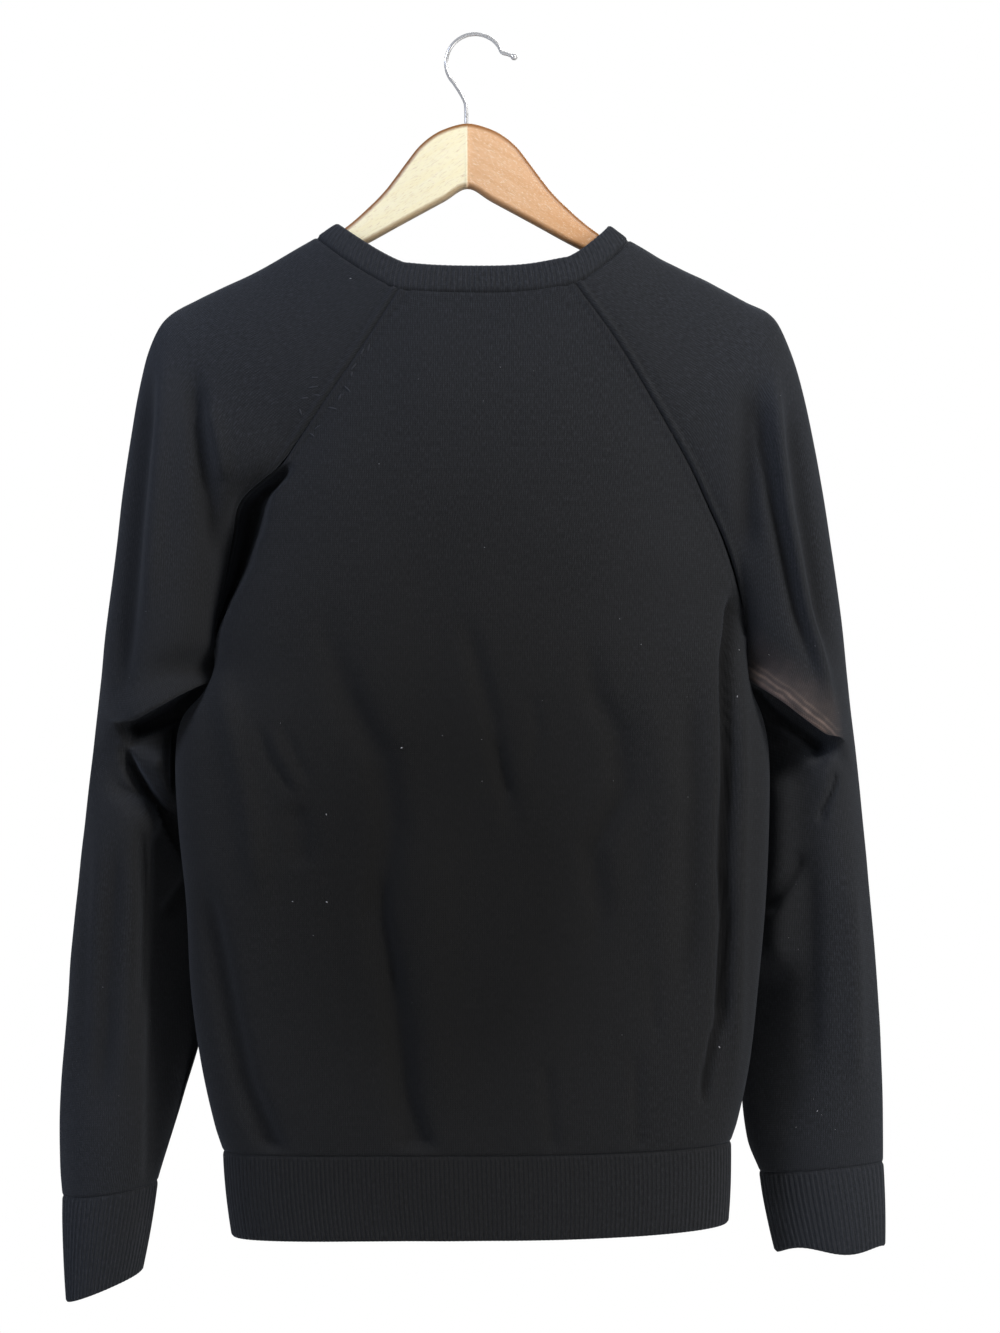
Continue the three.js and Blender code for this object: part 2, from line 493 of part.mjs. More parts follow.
function hanger() {
  const half = hangerOutline.map(([x, z]) => new THREE.Vector2(x, z));
  const otherHalf = [...half].reverse().map((p) => new THREE.Vector2(-p.x, p.y));
  const outline = new THREE.Shape().moveTo(notch.x, notch.y);
  outline.splineThru([...half, crown, ...otherHalf, notch]);
  const rounding = 4; // of the wood's long edges
  const sweepPower = 1.3; // the arms bend forward more towards their ends
  const geometry = new THREE.ExtrudeGeometry(outline, {
    depth: hangerThickness - 2 * rounding, bevelEnabled: true, bevelThickness: rounding, bevelSize: rounding,
    bevelOffset: -rounding, bevelSegments: 2, curveSegments: 1,
  });
  geometry.rotateX(Math.PI / 2);
  geometry.translate(0, hangerThickness / 2 - rounding, 0);
  const places = geometry.getAttribute("position");
  for (let k = 0; k < places.count; k += 1) {
    const reach = Math.abs(places.getX(k)) / hangerHalfWidth;
    places.setXYZ(k, places.getX(k) + hangerCentreX, places.getY(k) + hangerSweep * reach ** sweepPower, places.getZ(k));
  }
  geometry.computeVertexNormals();
  return geometry;
}

// ---------- the hook ----------
const hookCentre = [0, wireDiameter / 2 - hookRadius]; // x, z
const stemX = hangerCentreX - 1;
const stemFoot = -64.1; // it ends on top of the wood

function hookPath() {
  const points = [[27.5, 0, -14.6], [23.9, 0, -13.2]];
  const [open, end, steps] = [22, 225, 14]; // degrees round the hook's circle, from its open end
  for (let i = 0; i <= steps; i += 1) {
    const angle = THREE.MathUtils.degToRad(mix(open, end, i / steps));
    points.push([hookCentre[0] + hookRadius * Math.cos(angle), 0, hookCentre[1] + hookRadius * Math.sin(angle)]);
  }
  points.push([-10.4, 0, -41.6], [-7.2, 0, -48], [stemX, 0, -54], [stemX, 0, stemFoot]);
  return new THREE.CatmullRomCurve3(points.map(vec));
}

function solid(wasm, geometry) {
  const bare = new THREE.BufferGeometry().setAttribute("position", geometry.getAttribute("position"));
  bare.setIndex(geometry.index);
  const merged = mergeVertices(bare, 1e-4);
  return new wasm.Manifold(new wasm.Mesh({
    numProp: 3,
    vertProperties: new Float32Array(merged.getAttribute("position").array),
    triVerts: new Uint32Array(merged.index.array),
  }));
}

async function hook() {
  const section = new THREE.Shape().absarc(0, 0, wireDiameter / 2, 0, Math.PI * 2);
  const wire = new THREE.ExtrudeGeometry(section, {
    extrudePath: hookPath(), steps: 48, curveSegments: 10, bevelEnabled: false,
  });
  const knobRadius = 2.5; // the ball at the wire's open end
  const knob = new THREE.SphereGeometry(knobRadius, 14, 10).translate(28.2, 0, -15);
  const wasm = await Module();
  wasm.setup();
  const joined = solid(wasm, wire).add(solid(wasm, knob)).getMesh();
  const geometry = new THREE.BufferGeometry();
  geometry.setAttribute("position", new THREE.BufferAttribute(joined.vertProperties, 3));
  geometry.setIndex(new THREE.BufferAttribute(joined.triVerts, 1));
  geometry.computeVertexNormals();
  return geometry;
}

const hangerMesh = new THREE.Mesh(hanger(), wood);
hangerMesh.name = "hanger";
const hookMesh = new THREE.Mesh(await hook(), chrome);
hookMesh.name = "hook";
sweater.add(hangerMesh, hookMesh);

export default sweater;
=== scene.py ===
# A charcoal raglan sweater of fine wool knit on a contoured beech hanger, seen from its back.
# Metres in the scene; the cut below is in millimetres, nearly as the part's own source has it.
# -Y is the garment's back, +Y its front; left is -X and right is +X.
import math
from functools import partial

import bmesh
import bpy
import numpy as np
from mathutils import Matrix, Vector


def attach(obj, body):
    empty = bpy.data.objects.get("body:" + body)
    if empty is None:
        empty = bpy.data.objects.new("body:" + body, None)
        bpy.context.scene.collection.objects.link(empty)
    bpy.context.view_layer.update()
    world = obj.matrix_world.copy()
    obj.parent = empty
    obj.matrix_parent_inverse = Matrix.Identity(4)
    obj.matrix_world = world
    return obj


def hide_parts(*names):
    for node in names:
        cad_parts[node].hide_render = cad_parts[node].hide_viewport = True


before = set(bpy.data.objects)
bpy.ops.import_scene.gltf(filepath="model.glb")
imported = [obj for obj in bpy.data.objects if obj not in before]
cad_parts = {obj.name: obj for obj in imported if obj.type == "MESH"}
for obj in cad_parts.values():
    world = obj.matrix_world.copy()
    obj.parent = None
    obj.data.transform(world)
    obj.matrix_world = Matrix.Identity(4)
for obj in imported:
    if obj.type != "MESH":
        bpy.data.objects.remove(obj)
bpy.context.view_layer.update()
mm = 0.001


def rowsOf(fields, rows):  # names the columns of a table
    return [dict(zip(fields.split(), row)) for row in rows]


# The cut: sections of the sleeves and the body. A sleeve section runs from the back seam over the outside
# to the front seam; s is 0 at the neck, 1 at the underarm and 2 at the cuff seam. leave.. and round.. are
# the handles of the two curves. Past the underarm the two seams are one, so no front is given.
sleeveFields = "s back leaveBack roundBack side roundFront leaveFront front"
leftSleeve = rowsOf(sleeveFields, [
    (0, (-55, -17, -185), (-22, 6, 8), (0, -18, -4), (-116, 18, -143), (0, 26, -2), (-22, -8, 10),
     (-62, 80, -226)),
    (0.2, (-79, -13, -222), (-26, 3, 16), (0, -20, -4), (-160, 31, -166), (0, 26, -3), (-26, 0, 18),
     (-84, 84, -258)),
    (0.4, (-107, -8, -262), (-30, 1, 18), (0, -26, -5), (-205, 42, -185), (0, 26, -5), (-30, 0, 20),
     (-108, 86, -292)),
    (0.55, (-128, -1, -292), (-34, -1, 16), (-2, -32, -8), (-230, 46, -200), (-2, 28, -8), (-32, 2, 18),
     (-128, 86, -318)),
    (0.65, (-144, 6, -313), (-26, -13, 2), (-4, -38, -8), (-242, 49, -222), (-3, 30, -8), (-34, 2, 14),
     (-144, 84, -338)),
    (0.75, (-172, 25, -336), (-6, -36, 2), (-6, -44, -6), (-250, 51, -255), (-4, 32, -6), (-34, 2, 8),
     (-160, 80, -358)),
    (0.85, (-179, 35, -364), (-11, -48, 2), (-6, -48, -4), (-259, 52, -310), (-4, 32, -4), (-30, 4, 4),
     (-174, 72, -384)),
    (0.93, (-187, 39, -402), (-11, -52, 0), (-4, -48, -2), (-267.5, 52, -376), (-3, 34, -2), (-22, 14, 2),
     (-187, 58, -412)),
    (1, (-197, 43, -437), (6, -54, 0), (-3, -48, 0), (-276.5, 52, -440), (-3, 34, 0), (-4, 34, 0)),
    (1.07, (-191, 66, -452), (-12, -72, -2), (8, -52, 2), (-281, 52, -480), (-3, 34, 0), (-4, 32, -4)),
    # the elbow's folded lip, the pocket under it, the small slack triangle and the second fold
    (1.12, (-190, 72, -461), (-2, -86, -7), (20, -66, 5), (-284, 52, -511), (-3, 34, 0), (-6, 32, -8)),
    (1.16, (-192, 76, -458), (-12, -58, -6), (22, -40, 13), (-284.2, 52, -514), (-3, 34, 0), (-6, 28, -16)),
    (1.2, (-196, 79, -474), (-14, -46, -6), (26, -28, 8), (-284.5, 52, -517), (-3, 34, 0), (-6, 24, -20)),
    (1.27, (-204, 81, -528), (-18, -30, -4), (34, -40, -4), (-285, 52, -521), (-3, 34, 0), (-8, 16, 0)),
    (1.33, (-207, 84, -586), (-15, -22, 0), (39, -12, -27), (-285.5, 52, -525), (-3, 34, 0), (-10, 16, 20)),
    (1.38, (-206, 82, -604), (-18, -32, 0), (27, -60, -28), (-286.5, 52, -534), (-3, 34, 0), (-10, 16, 22)),
    (1.52, (-204, 82, -655), (-20, -28, 0), (32, -62, 0), (-299, 52, -640), (-3, 36, 0), (-10, 18, 0)),
    (1.7, (-205, 80, -725), (-18, -24, 0), (36, -60, 0), (-305, 52, -722), (-3, 36, 0), (-8, 20, 0)),
    (1.84, (-221, 74, -782), (0, -28, 0), (38, -52, 0), (-309.5, 52, -781), (-2, 34, 0), (-2, 22, 0)),
    (1.94, (-233, 68, -822), (2, -28, 0), (30, -44, 0), (-309.5, 52, -826), (-2, 32, 0), (0, 22, 0)),
    (2, (-238, 64, -841), (2, -24, 0), (26, -38, 0), (-307.5, 52, -850), (-2, 28, 0), (2, 20, 0)),
])
rightSleeve = rowsOf(sleeveFields, [
    (0, (72, -17, -181), (16, 5, 7), (0, -18, -4), (112, 18, -145), (0, 26, -2), (18, -8, 10),
     (66, 80, -224)),
    (0.2, (101, -12, -220), (20, 3, 16), (0, -20, -4), (157, 32, -167), (0, 26, -3), (24, 0, 18),
     (88, 84, -258)),
    (0.4, (126, -5, -260), (26, 0, 18), (0, -26, -5), (199, 43, -186), (0, 26, -5), (28, 0, 20),
     (112, 86, -292)),
    (0.55, (144, 1, -290), (28, -1, 16), (1, -32, -8), (221, 46, -198), (2, 28, -8), (30, 2, 18),
     (131, 86, -318)),
    (0.65, (157, 6, -313), (28, -3, 13), (3, -38, -8), (233, 49, -222), (3, 30, -8), (32, 2, 14),
     (146, 84, -338)),
    (0.75, (170, 12, -340), (26, -7, 9), (4, -44, -6), (242.5, 51, -255), (4, 32, -6), (32, 2, 8),
     (161, 80, -358)),
    (0.85, (183, 19, -368), (22, -13, 5), (4, -48, -4), (253.5, 52, -310), (4, 32, -4), (28, 4, 4),
     (175, 72, -384)),
    (0.93, (194, 29, -400), (14, -24, 2), (4, -48, -2), (264.5, 52, -376), (3, 34, -2), (20, 14, 2),
     (190, 56, -410)),
    (1, (203, 42, -434), (2, -44, 0), (3, -48, 0), (274, 52, -440), (3, 34, 0), (4, 34, 0)),
    (1.07, (198, 66, -450), (8, -70, -2), (-8, -54, 4), (279.5, 52, -488), (3, 34, 0), (4, 32, -4)),
    # the elbow's folded lip and the pocket under it
    (1.12, (198, 72, -459), (4, -84, -9), (-14, -66, 19), (284.5, 52, -532), (3, 34, 0), (6, 32, -8)),
    (1.16, (200, 76, -456), (12, -58, -4), (-16, -42, 34), (284.8, 52, -535), (3, 34, 0), (6, 28, -16)),
    (1.2, (203, 79, -472), (12, -46, -6), (-20, -28, 27), (285, 52, -538), (3, 34, 0), (6, 24, -24)),
    (1.27, (206, 81, -503), (16, -32, -2), (-22, -58, 17), (285.5, 52, -543), (3, 34, 0), (8, 18, -20)),
    (1.38, (207, 82, -560), (15, -28, 0), (-22, -62, 4), (288, 52, -572), (3, 34, 0), (10, 16, 0)),
    (1.52, (205, 82, -628), (16, -28, 0), (-26, -62, 0), (293, 52, -626), (3, 36, 0), (10, 18, 0)),
    (1.7, (203, 80, -705), (16, -26, 0), (-30, -60, 0), (299, 52, -702), (3, 36, 0), (8, 20, 0)),
    (1.84, (199, 76, -765), (10, -24, 0), (-32, -52, 0), (302, 52, -762), (2, 34, 0), (4, 22, 0)),
    (1.94, (203, 70, -810), (0, -26, 0), (-32, -44, 0), (303, 52, -802), (2, 28, 0), (0, 20, 0)),
    (2, (212, 65, -834), (0, -24, 0), (-30, -36, 0), (303, 52, -825), (2, 22, 0), (-2, 16, 0)),
])
cuffEdges = rowsOf(sleeveFields, [
    (3, (-249, 60, -908), (0, -18, -2), (8, -24, 2), (-304.5, 50, -929), (2, 24, 2), (0, 14, -2)),
    (3, (223, 58, -890), (0, -20, -4), (-18, -26, 6), (305, 52, -891), (0, 20, 4), (0, 14, -4)),
])
backYoke = rowsOf("s middle nearLeft nearRight", [
    (0, (8, -20, -188), (18, -2, -2), (-18, -2, -3)),
    (0.2, (8, -22, -221), (24, -4, 0), (-26, -4, 0)),
    (0.4, (8, -24, -261), (32, -7, 0), (-34, -8, 0)),
    (0.55, (8, -25, -291), (34, -12, 0), (-38, -12, 0)),
    (0.65, (8, -25, -313), (26, -18, 0), (-40, -15, 0)),
    (0.75, (6, -25, -338), (18, -34, 0), (-40, -19, 0)),
    (0.85, (4, -25, -366), (16, -44, 0), (-36, -26, 0)),
    (0.93, (3, -24, -401), (11, -52, 0), (-26, -36, 0)),
    (1, (2, -24, -435), (2, -50, 0), (-6, -46, 0)),
])
frontYoke = rowsOf("s middle nearLeft nearRight", [
    (0, (2, 86, -242), (22, 3, -10), (-22, 3, -10)),
    (0.2, (2, 90, -272), (26, 2, -6), (-26, 2, -6)),
    (0.4, (2, 93, -300), (32, 3, 0), (-32, 3, 0)),
    (0.55, (2, 95, -322), (36, 5, 0), (-36, 5, 0)),
    (0.65, (2, 96, -341), (38, 8, 0), (-38, 8, 0)),
    (0.75, (2, 96, -361), (38, 12, 0), (-38, 12, 0)),
    (0.85, (2, 96, -386), (34, 20, 0), (-34, 20, 0)),
    (0.93, (2, 96, -411), (22, 32, 0), (-22, 32, 0)),
    (1, (2, 96, -436), (3, 46, 0), (-3, 46, 0)),
])
body = rowsOf("s left right backY frontY", [
    (1, (-196.5, 43, -437), (202.5, 42, -434), -24, 96),
    (1.06, (-191.5, 42, -458), (201, 41, -457), -24, 96),
    (1.1, (-198.5, 41, -474), (204, 39, -475), -23.5, 96),
    (1.16, (-216.5, 38, -493), (212, 37, -494), -23, 96),
    (1.23, (-221.5, 36, -520), (216.5, 36, -520), -22, 95),
    (1.36, (-219.5, 36, -572), (216.5, 36, -572), -21, 94),
    (1.5, (-213.5, 36, -630), (214, 36, -630), -20, 92),
    (1.68, (-210, 36, -695), (208.5, 36, -692), -19, 88),
    (1.84, (-202, 36, -752), (202, 36, -750), -18, 84),
    (1.95, (-192, 35, -796), (193, 35, -792), -18, 80),
    (2, (-186, 34, -813), (188, 34, -806), -16, 76),
])
hemEdge = dict(left=(-179.5, 34, -876), right=(186, 34, -866), backY=-14, frontY=74)
knit = dict(step=3.0, seamStep=0.8, seamSteps=9, wall=1.7, ribWall=2.2, wale=1.65, course=1.3,
            fullMiddle=0.55, fullSide=0.78, fineNoise=0.15)


# Curves and surfaces take (u, s) to a point, u across and s down the piece.
def between(stations, s, field):  # smooth values between stations
    knots = np.array([row["s"] for row in stations], float)
    values = np.array([np.atleast_1d(row.get(field, row.get("back"))) for row in stations], float)
    last = len(knots) - 1
    i = np.clip(np.searchsorted(knots, s, side="left") - 1, 0, last - 1)
    a, b, before, after = i, i + 1, np.maximum(i - 1, 0), np.minimum(i + 2, last)
    span = (knots[b] - knots[a])[:, None]
    t = (s - knots[a])[:, None] / span
    rise = (values[b] - values[a]) / span
    slopeIn = (values[b] - values[before]) / (knots[b] - knots[before])[:, None]
    slopeOut = (values[after] - values[a]) / (knots[after] - knots[a])[:, None]
    slopeIn = np.where((before == a)[:, None], rise, slopeIn)
    slopeOut = np.where((after == b)[:, None], rise, slopeOut)
    return ((2 * t**3 - 3 * t**2 + 1) * values[a] + (t**3 - 2 * t**2 + t) * span * slopeIn
            + (3 * t**2 - 2 * t**3) * values[b] + (t**3 - t**2) * span * slopeOut)


def bezier(a, b, c, d, t):
    t = t[..., None]
    return (1 - t)**3 * a + 3 * (1 - t)**2 * t * b + 3 * (1 - t) * t**2 * c + t**3 * d


def smoothStep(x, low, high):
    t = np.clip((x - low) / (high - low), 0, 1)
    return t * t * (3 - 2 * t)


def sectionRows(pick, u):  # pick gives each field as rows of points
    side = pick("side")
    t = np.where(u <= 0.5, u * 2, u * 2 - 1)[None, :]
    back = bezier(pick("back"), pick("back") + pick("leaveBack"), side + pick("roundBack"), side, t)
    front = bezier(side, side + pick("roundFront"), pick("front") + pick("leaveFront"), pick("front"), t)
    return np.where((u <= 0.5)[None, :, None], back, front)


def sleeveSurface(stations):
    return lambda u, s: sectionRows(lambda field: between(stations, s, field)[:, None, :], u)


def halfRows(left, right, nearLeft, nearRight, middle, u):
    t = np.where(u <= 0.5, u * 2, 2 - u * 2)[None, :]
    halves = []
    for seam, near in ((left, nearLeft), (right, nearRight)):
        nearMiddle = middle.copy()
        nearMiddle[:, 0] += (seam[:, 0] - middle[:, 0]) * knit["fullMiddle"]
        halves.append(bezier(*(p[:, None, :] for p in (seam, seam + near, nearMiddle, middle)), t))
    return np.where((u <= 0.5)[None, :, None], *halves)


def panelSurface(yoke, face):
    def surface(u, s):
        inYoke = np.minimum(s, 1)
        left, right = between(leftSleeve, inYoke, face), between(rightSleeve, inYoke, face)
        meeting = smoothStep(inYoke, 0.9, 1)[:, None]  # the raglan seams run into the side seams
        left = left + (np.array(body[0]["left"]) - left) * meeting
        right = right + (np.array(body[0]["right"]) - right) * meeting
        shape = [between(yoke, inYoke, field) for field in ("nearLeft", "nearRight", "middle")]
        yokeRows = halfRows(left, right, *shape, u)
        low = np.maximum(s, 1)
        left, right = between(body, low, "left"), between(body, low, "right")
        y = between(body, low, face + "Y")[:, 0]
        fromYoke = np.maximum(1 - (low - 1) * 6, 0)
        middle = (left + right) / 2
        middle[:, 0] += (yoke[-1]["middle"][0] - middle[:, 0]) * fromYoke
        middle[:, 1] = y
        reach = (y - left[:, 1]) * knit["fullSide"]
        lean = [np.stack([k * fromYoke, reach, 0 * reach], axis=1) for k in (2, -5)]
        bodyRows = halfRows(left, right, *lean, middle, u)
        return np.where((s <= 1)[:, None, None], yokeRows, bodyRows)
    return surface


surfaces = dict(back=panelSurface(backYoke, "back"), front=panelSurface(frontYoke, "front"),
                left=sleeveSurface(leftSleeve), right=sleeveSurface(rightSleeve))


def spread(length):  # places along a length, closer together beside a seam
    start = knit["seamStep"] * np.arange(knit["seamSteps"] + 1)
    end = length - start[::-1]
    count = max(int((end[0] - start[-1]) / knit["step"]), 2)
    return np.concatenate([start, np.linspace(start[-1], end[0], count + 1)[1:-1], end]) / length


def evenParameters(points, places, parameters):  # parameters that lie at these shares of a curve's length
    steps = np.linalg.norm(np.diff(points, axis=0), axis=1)
    share = np.concatenate([[0], np.cumsum(steps)]) / steps.sum()
    return np.interp(places, share, parameters)


def lengthOf(points):
    return np.linalg.norm(np.diff(points, axis=0), axis=1).sum()


def runAlong(points, axis):  # running length along rows or columns
    steps = np.linalg.norm(np.diff(points, axis=axis), axis=2)
    start = np.zeros_like(np.take(steps, [0], axis=axis))
    return np.concatenate([start, np.cumsum(steps, axis=axis)], axis=axis)


def normalsOf(points, outward, ring=False):
    along, across = np.gradient(points, axis=0), np.gradient(points, axis=1)
    if ring:
        across[:, [0, -1]] = (points[:, [1]] - points[:, [-2]]) / 2
    normal = np.cross(across, along)
    normal /= np.maximum(np.linalg.norm(normal, axis=2, keepdims=True), 1e-9)
    row, col = int(points.shape[0] * 0.9), points.shape[1] // 2
    return normal * np.sign(normal[row, col] @ np.array(outward, float))


def softNoise(x, z, cellX, cellZ, seed):  # smooth random relief, about -1 to 1
    table = np.random.default_rng(seed).uniform(-1, 1, (64, 64))
    gx, gz = x / cellX, z / cellZ
    ix, iz = np.floor(gx).astype(int), np.floor(gz).astype(int)
    fx, fz = smoothStep(gx - ix, 0, 1), smoothStep(gz - iz, 0, 1)
    at = lambda i, j: table[i % 64, j % 64]
    top = at(ix, iz) * (1 - fx) + at(ix + 1, iz) * fx
    low = at(ix, iz + 1) * (1 - fx) + at(ix + 1, iz + 1) * fx
    return top * (1 - fz) + low * fz


# A fold is how deep (a ridge is minus) and how wide it is and its path down the cloth, in millimetres.
def fold(depth, width, *path, fade=0.25, openEnd=False):
    return dict(depth=depth, width=width, path=np.array(path, float), fade=fade, openEnd=openEnd)


def foldRelief(points, folds):
    x, z = points[..., 0], points[..., 2]
    relief = np.zeros_like(x)
    for each in folds:
        path = each["path"]
        lengths = np.linalg.norm(np.diff(path, axis=0), axis=1)
        starts = np.concatenate([[0], np.cumsum(lengths)])
        nearest, place = np.full(x.shape, 1e9), np.zeros_like(x)
        for k, length in enumerate(lengths):
            way = (path[k + 1] - path[k]) / length
            t = np.clip((x - path[k, 0]) * way[0] + (z - path[k, 1]) * way[1], 0, length)
            gap = np.hypot(x - path[k, 0] - way[0] * t, z - path[k, 1] - way[1] * t)
            closer = gap < nearest
            nearest, place = np.where(closer, gap, nearest), np.where(closer, starts[k] + t, place)
        share = place / starts[-1]
        ends = smoothStep(share, 0, each["fade"])
        ends = ends * (1 if each["openEnd"] else 1 - smoothStep(share, 1 - each["fade"], 1))
        relief -= each["depth"] * np.exp(-(nearest / each["width"])**2) * ends
    return relief


def meshFrom(bm, name):  # hands a bmesh over as a new mesh
    mesh = bpy.data.meshes.new(name)
    bm.to_mesh(mesh)
    bm.free()
    return mesh


def linkObject(name, data):
    made = bpy.data.objects.new(name, data)
    bpy.context.scene.collection.objects.link(made)
    return made


def linkPiece(name, mesh, material, node=None):
    mesh.materials.append(material)
    mesh.shade_smooth()
    piece = linkObject(name, mesh)
    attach(piece, "root")
    if node:
        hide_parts(node)
    return piece


def gridMesh(name, points, uv, values, ring=False):
    rows, cols = points.shape[:2]
    bm = bmesh.new()
    bmesh.ops.create_grid(bm, x_segments=cols - 1, y_segments=rows - 1, size=1)
    mesh = meshFrom(bm, name)
    flat = np.empty(len(mesh.vertices) * 3)
    mesh.vertices.foreach_get("co", flat)
    flat = flat.reshape(-1, 3)
    col = np.rint((flat[:, 0] + 1) / 2 * (cols - 1)).astype(int)
    row = np.rint((flat[:, 1] + 1) / 2 * (rows - 1)).astype(int)
    mesh.vertices.foreach_set("co", (points[row, col] * mm).ravel())
    corner = np.empty(len(mesh.loops), int)
    mesh.loops.foreach_get("vertex_index", corner)
    layer = mesh.uv_layers.new(name="knitUv")
    layer.uv.foreach_set("vector", (uv[row, col] * mm)[corner].ravel())
    for key, value in values.items():
        attribute = mesh.attributes.new(key, "FLOAT", "POINT")
        attribute.data.foreach_set("value", value[row, col].astype(np.float32))
    bm = bmesh.new()
    bm.from_mesh(mesh)
    if ring:
        bmesh.ops.remove_doubles(bm, verts=bm.verts, dist=1e-6)
    bm.normal_update()
    bm.to_mesh(mesh)
    bm.free()
    return mesh


def clothPiece(name, node, points, normals, uv, values, wall, material, ring=False):
    mesh = gridMesh(name, points, uv, values, ring)
    middle = mesh.polygons[len(mesh.polygons) // 2]
    near = np.argmin(np.linalg.norm(points.reshape(-1, 3) * mm - np.array(middle.center), axis=1))
    if np.dot(np.array(middle.normal), normals.reshape(-1, 3)[near]) < 0:
        mesh.flip_normals()
    piece = linkPiece(name, mesh, material, node)
    solidify = piece.modifiers.new("wall", "SOLIDIFY")
    solidify.thickness, solidify.offset = wall * mm, -1
    return piece


def linear(hexColour):  # sRGB hex to linear rgba
    parts = [int(hexColour[k:k + 2], 16) / 255 for k in (1, 3, 5)]
    return tuple(c / 12.92 if c <= 0.04045 else ((c + 0.055) / 1.055)**2.4 for c in parts) + (1,)


def addNode(tree, kind, links=None, **settings):  # links: socket -> value, node or (node, output)
    node = tree.nodes.new("ShaderNode" + kind)
    for key, value in settings.items():
        setattr(node, key, value)
    for socket, value in (links or {}).items():
        if isinstance(value, bpy.types.Node):
            value = (value, 0)
        if isinstance(value, tuple) and isinstance(value[0], bpy.types.Node):
            tree.links.new(value[0].outputs[value[1]], node.inputs[socket])
        else:
            node.inputs[socket].default_value = value
    return node


def newMaterial(name):
    material = bpy.data.materials.new(name)
    material.use_nodes = True
    tree = material.node_tree
    shader = tree.nodes["Principled BSDF"]
    return material, tree, shader


def setSockets(shader, **values):
    names = dict(colour="Base Color", roughness="Roughness", metallic="Metallic", sheen="Sheen Weight",
                 sheenRoughness="Sheen Roughness", sheenTint="Sheen Tint", coat="Coat Weight",
                 coatRoughness="Coat Roughness", specular="Specular IOR Level")
    for key, value in values.items():
        shader.inputs[names[key]].default_value = value


knitLook = dict(dark="#17191b", mid="#232628", light="#36393d", fade="#2c2f32", paleLip="#76685f",
                seam="#0b0c0e", paintedWarmLight="#fff3ea", paintedCoolLight="#f0f1ff", sheenTint="#8790a0", roughness=0.93,
                sheen=0.22, sheenRoughness=0.45, specular=0.25, paleLineGap=4.6, markFromSeam=7.5,
                markPitch=5.2)


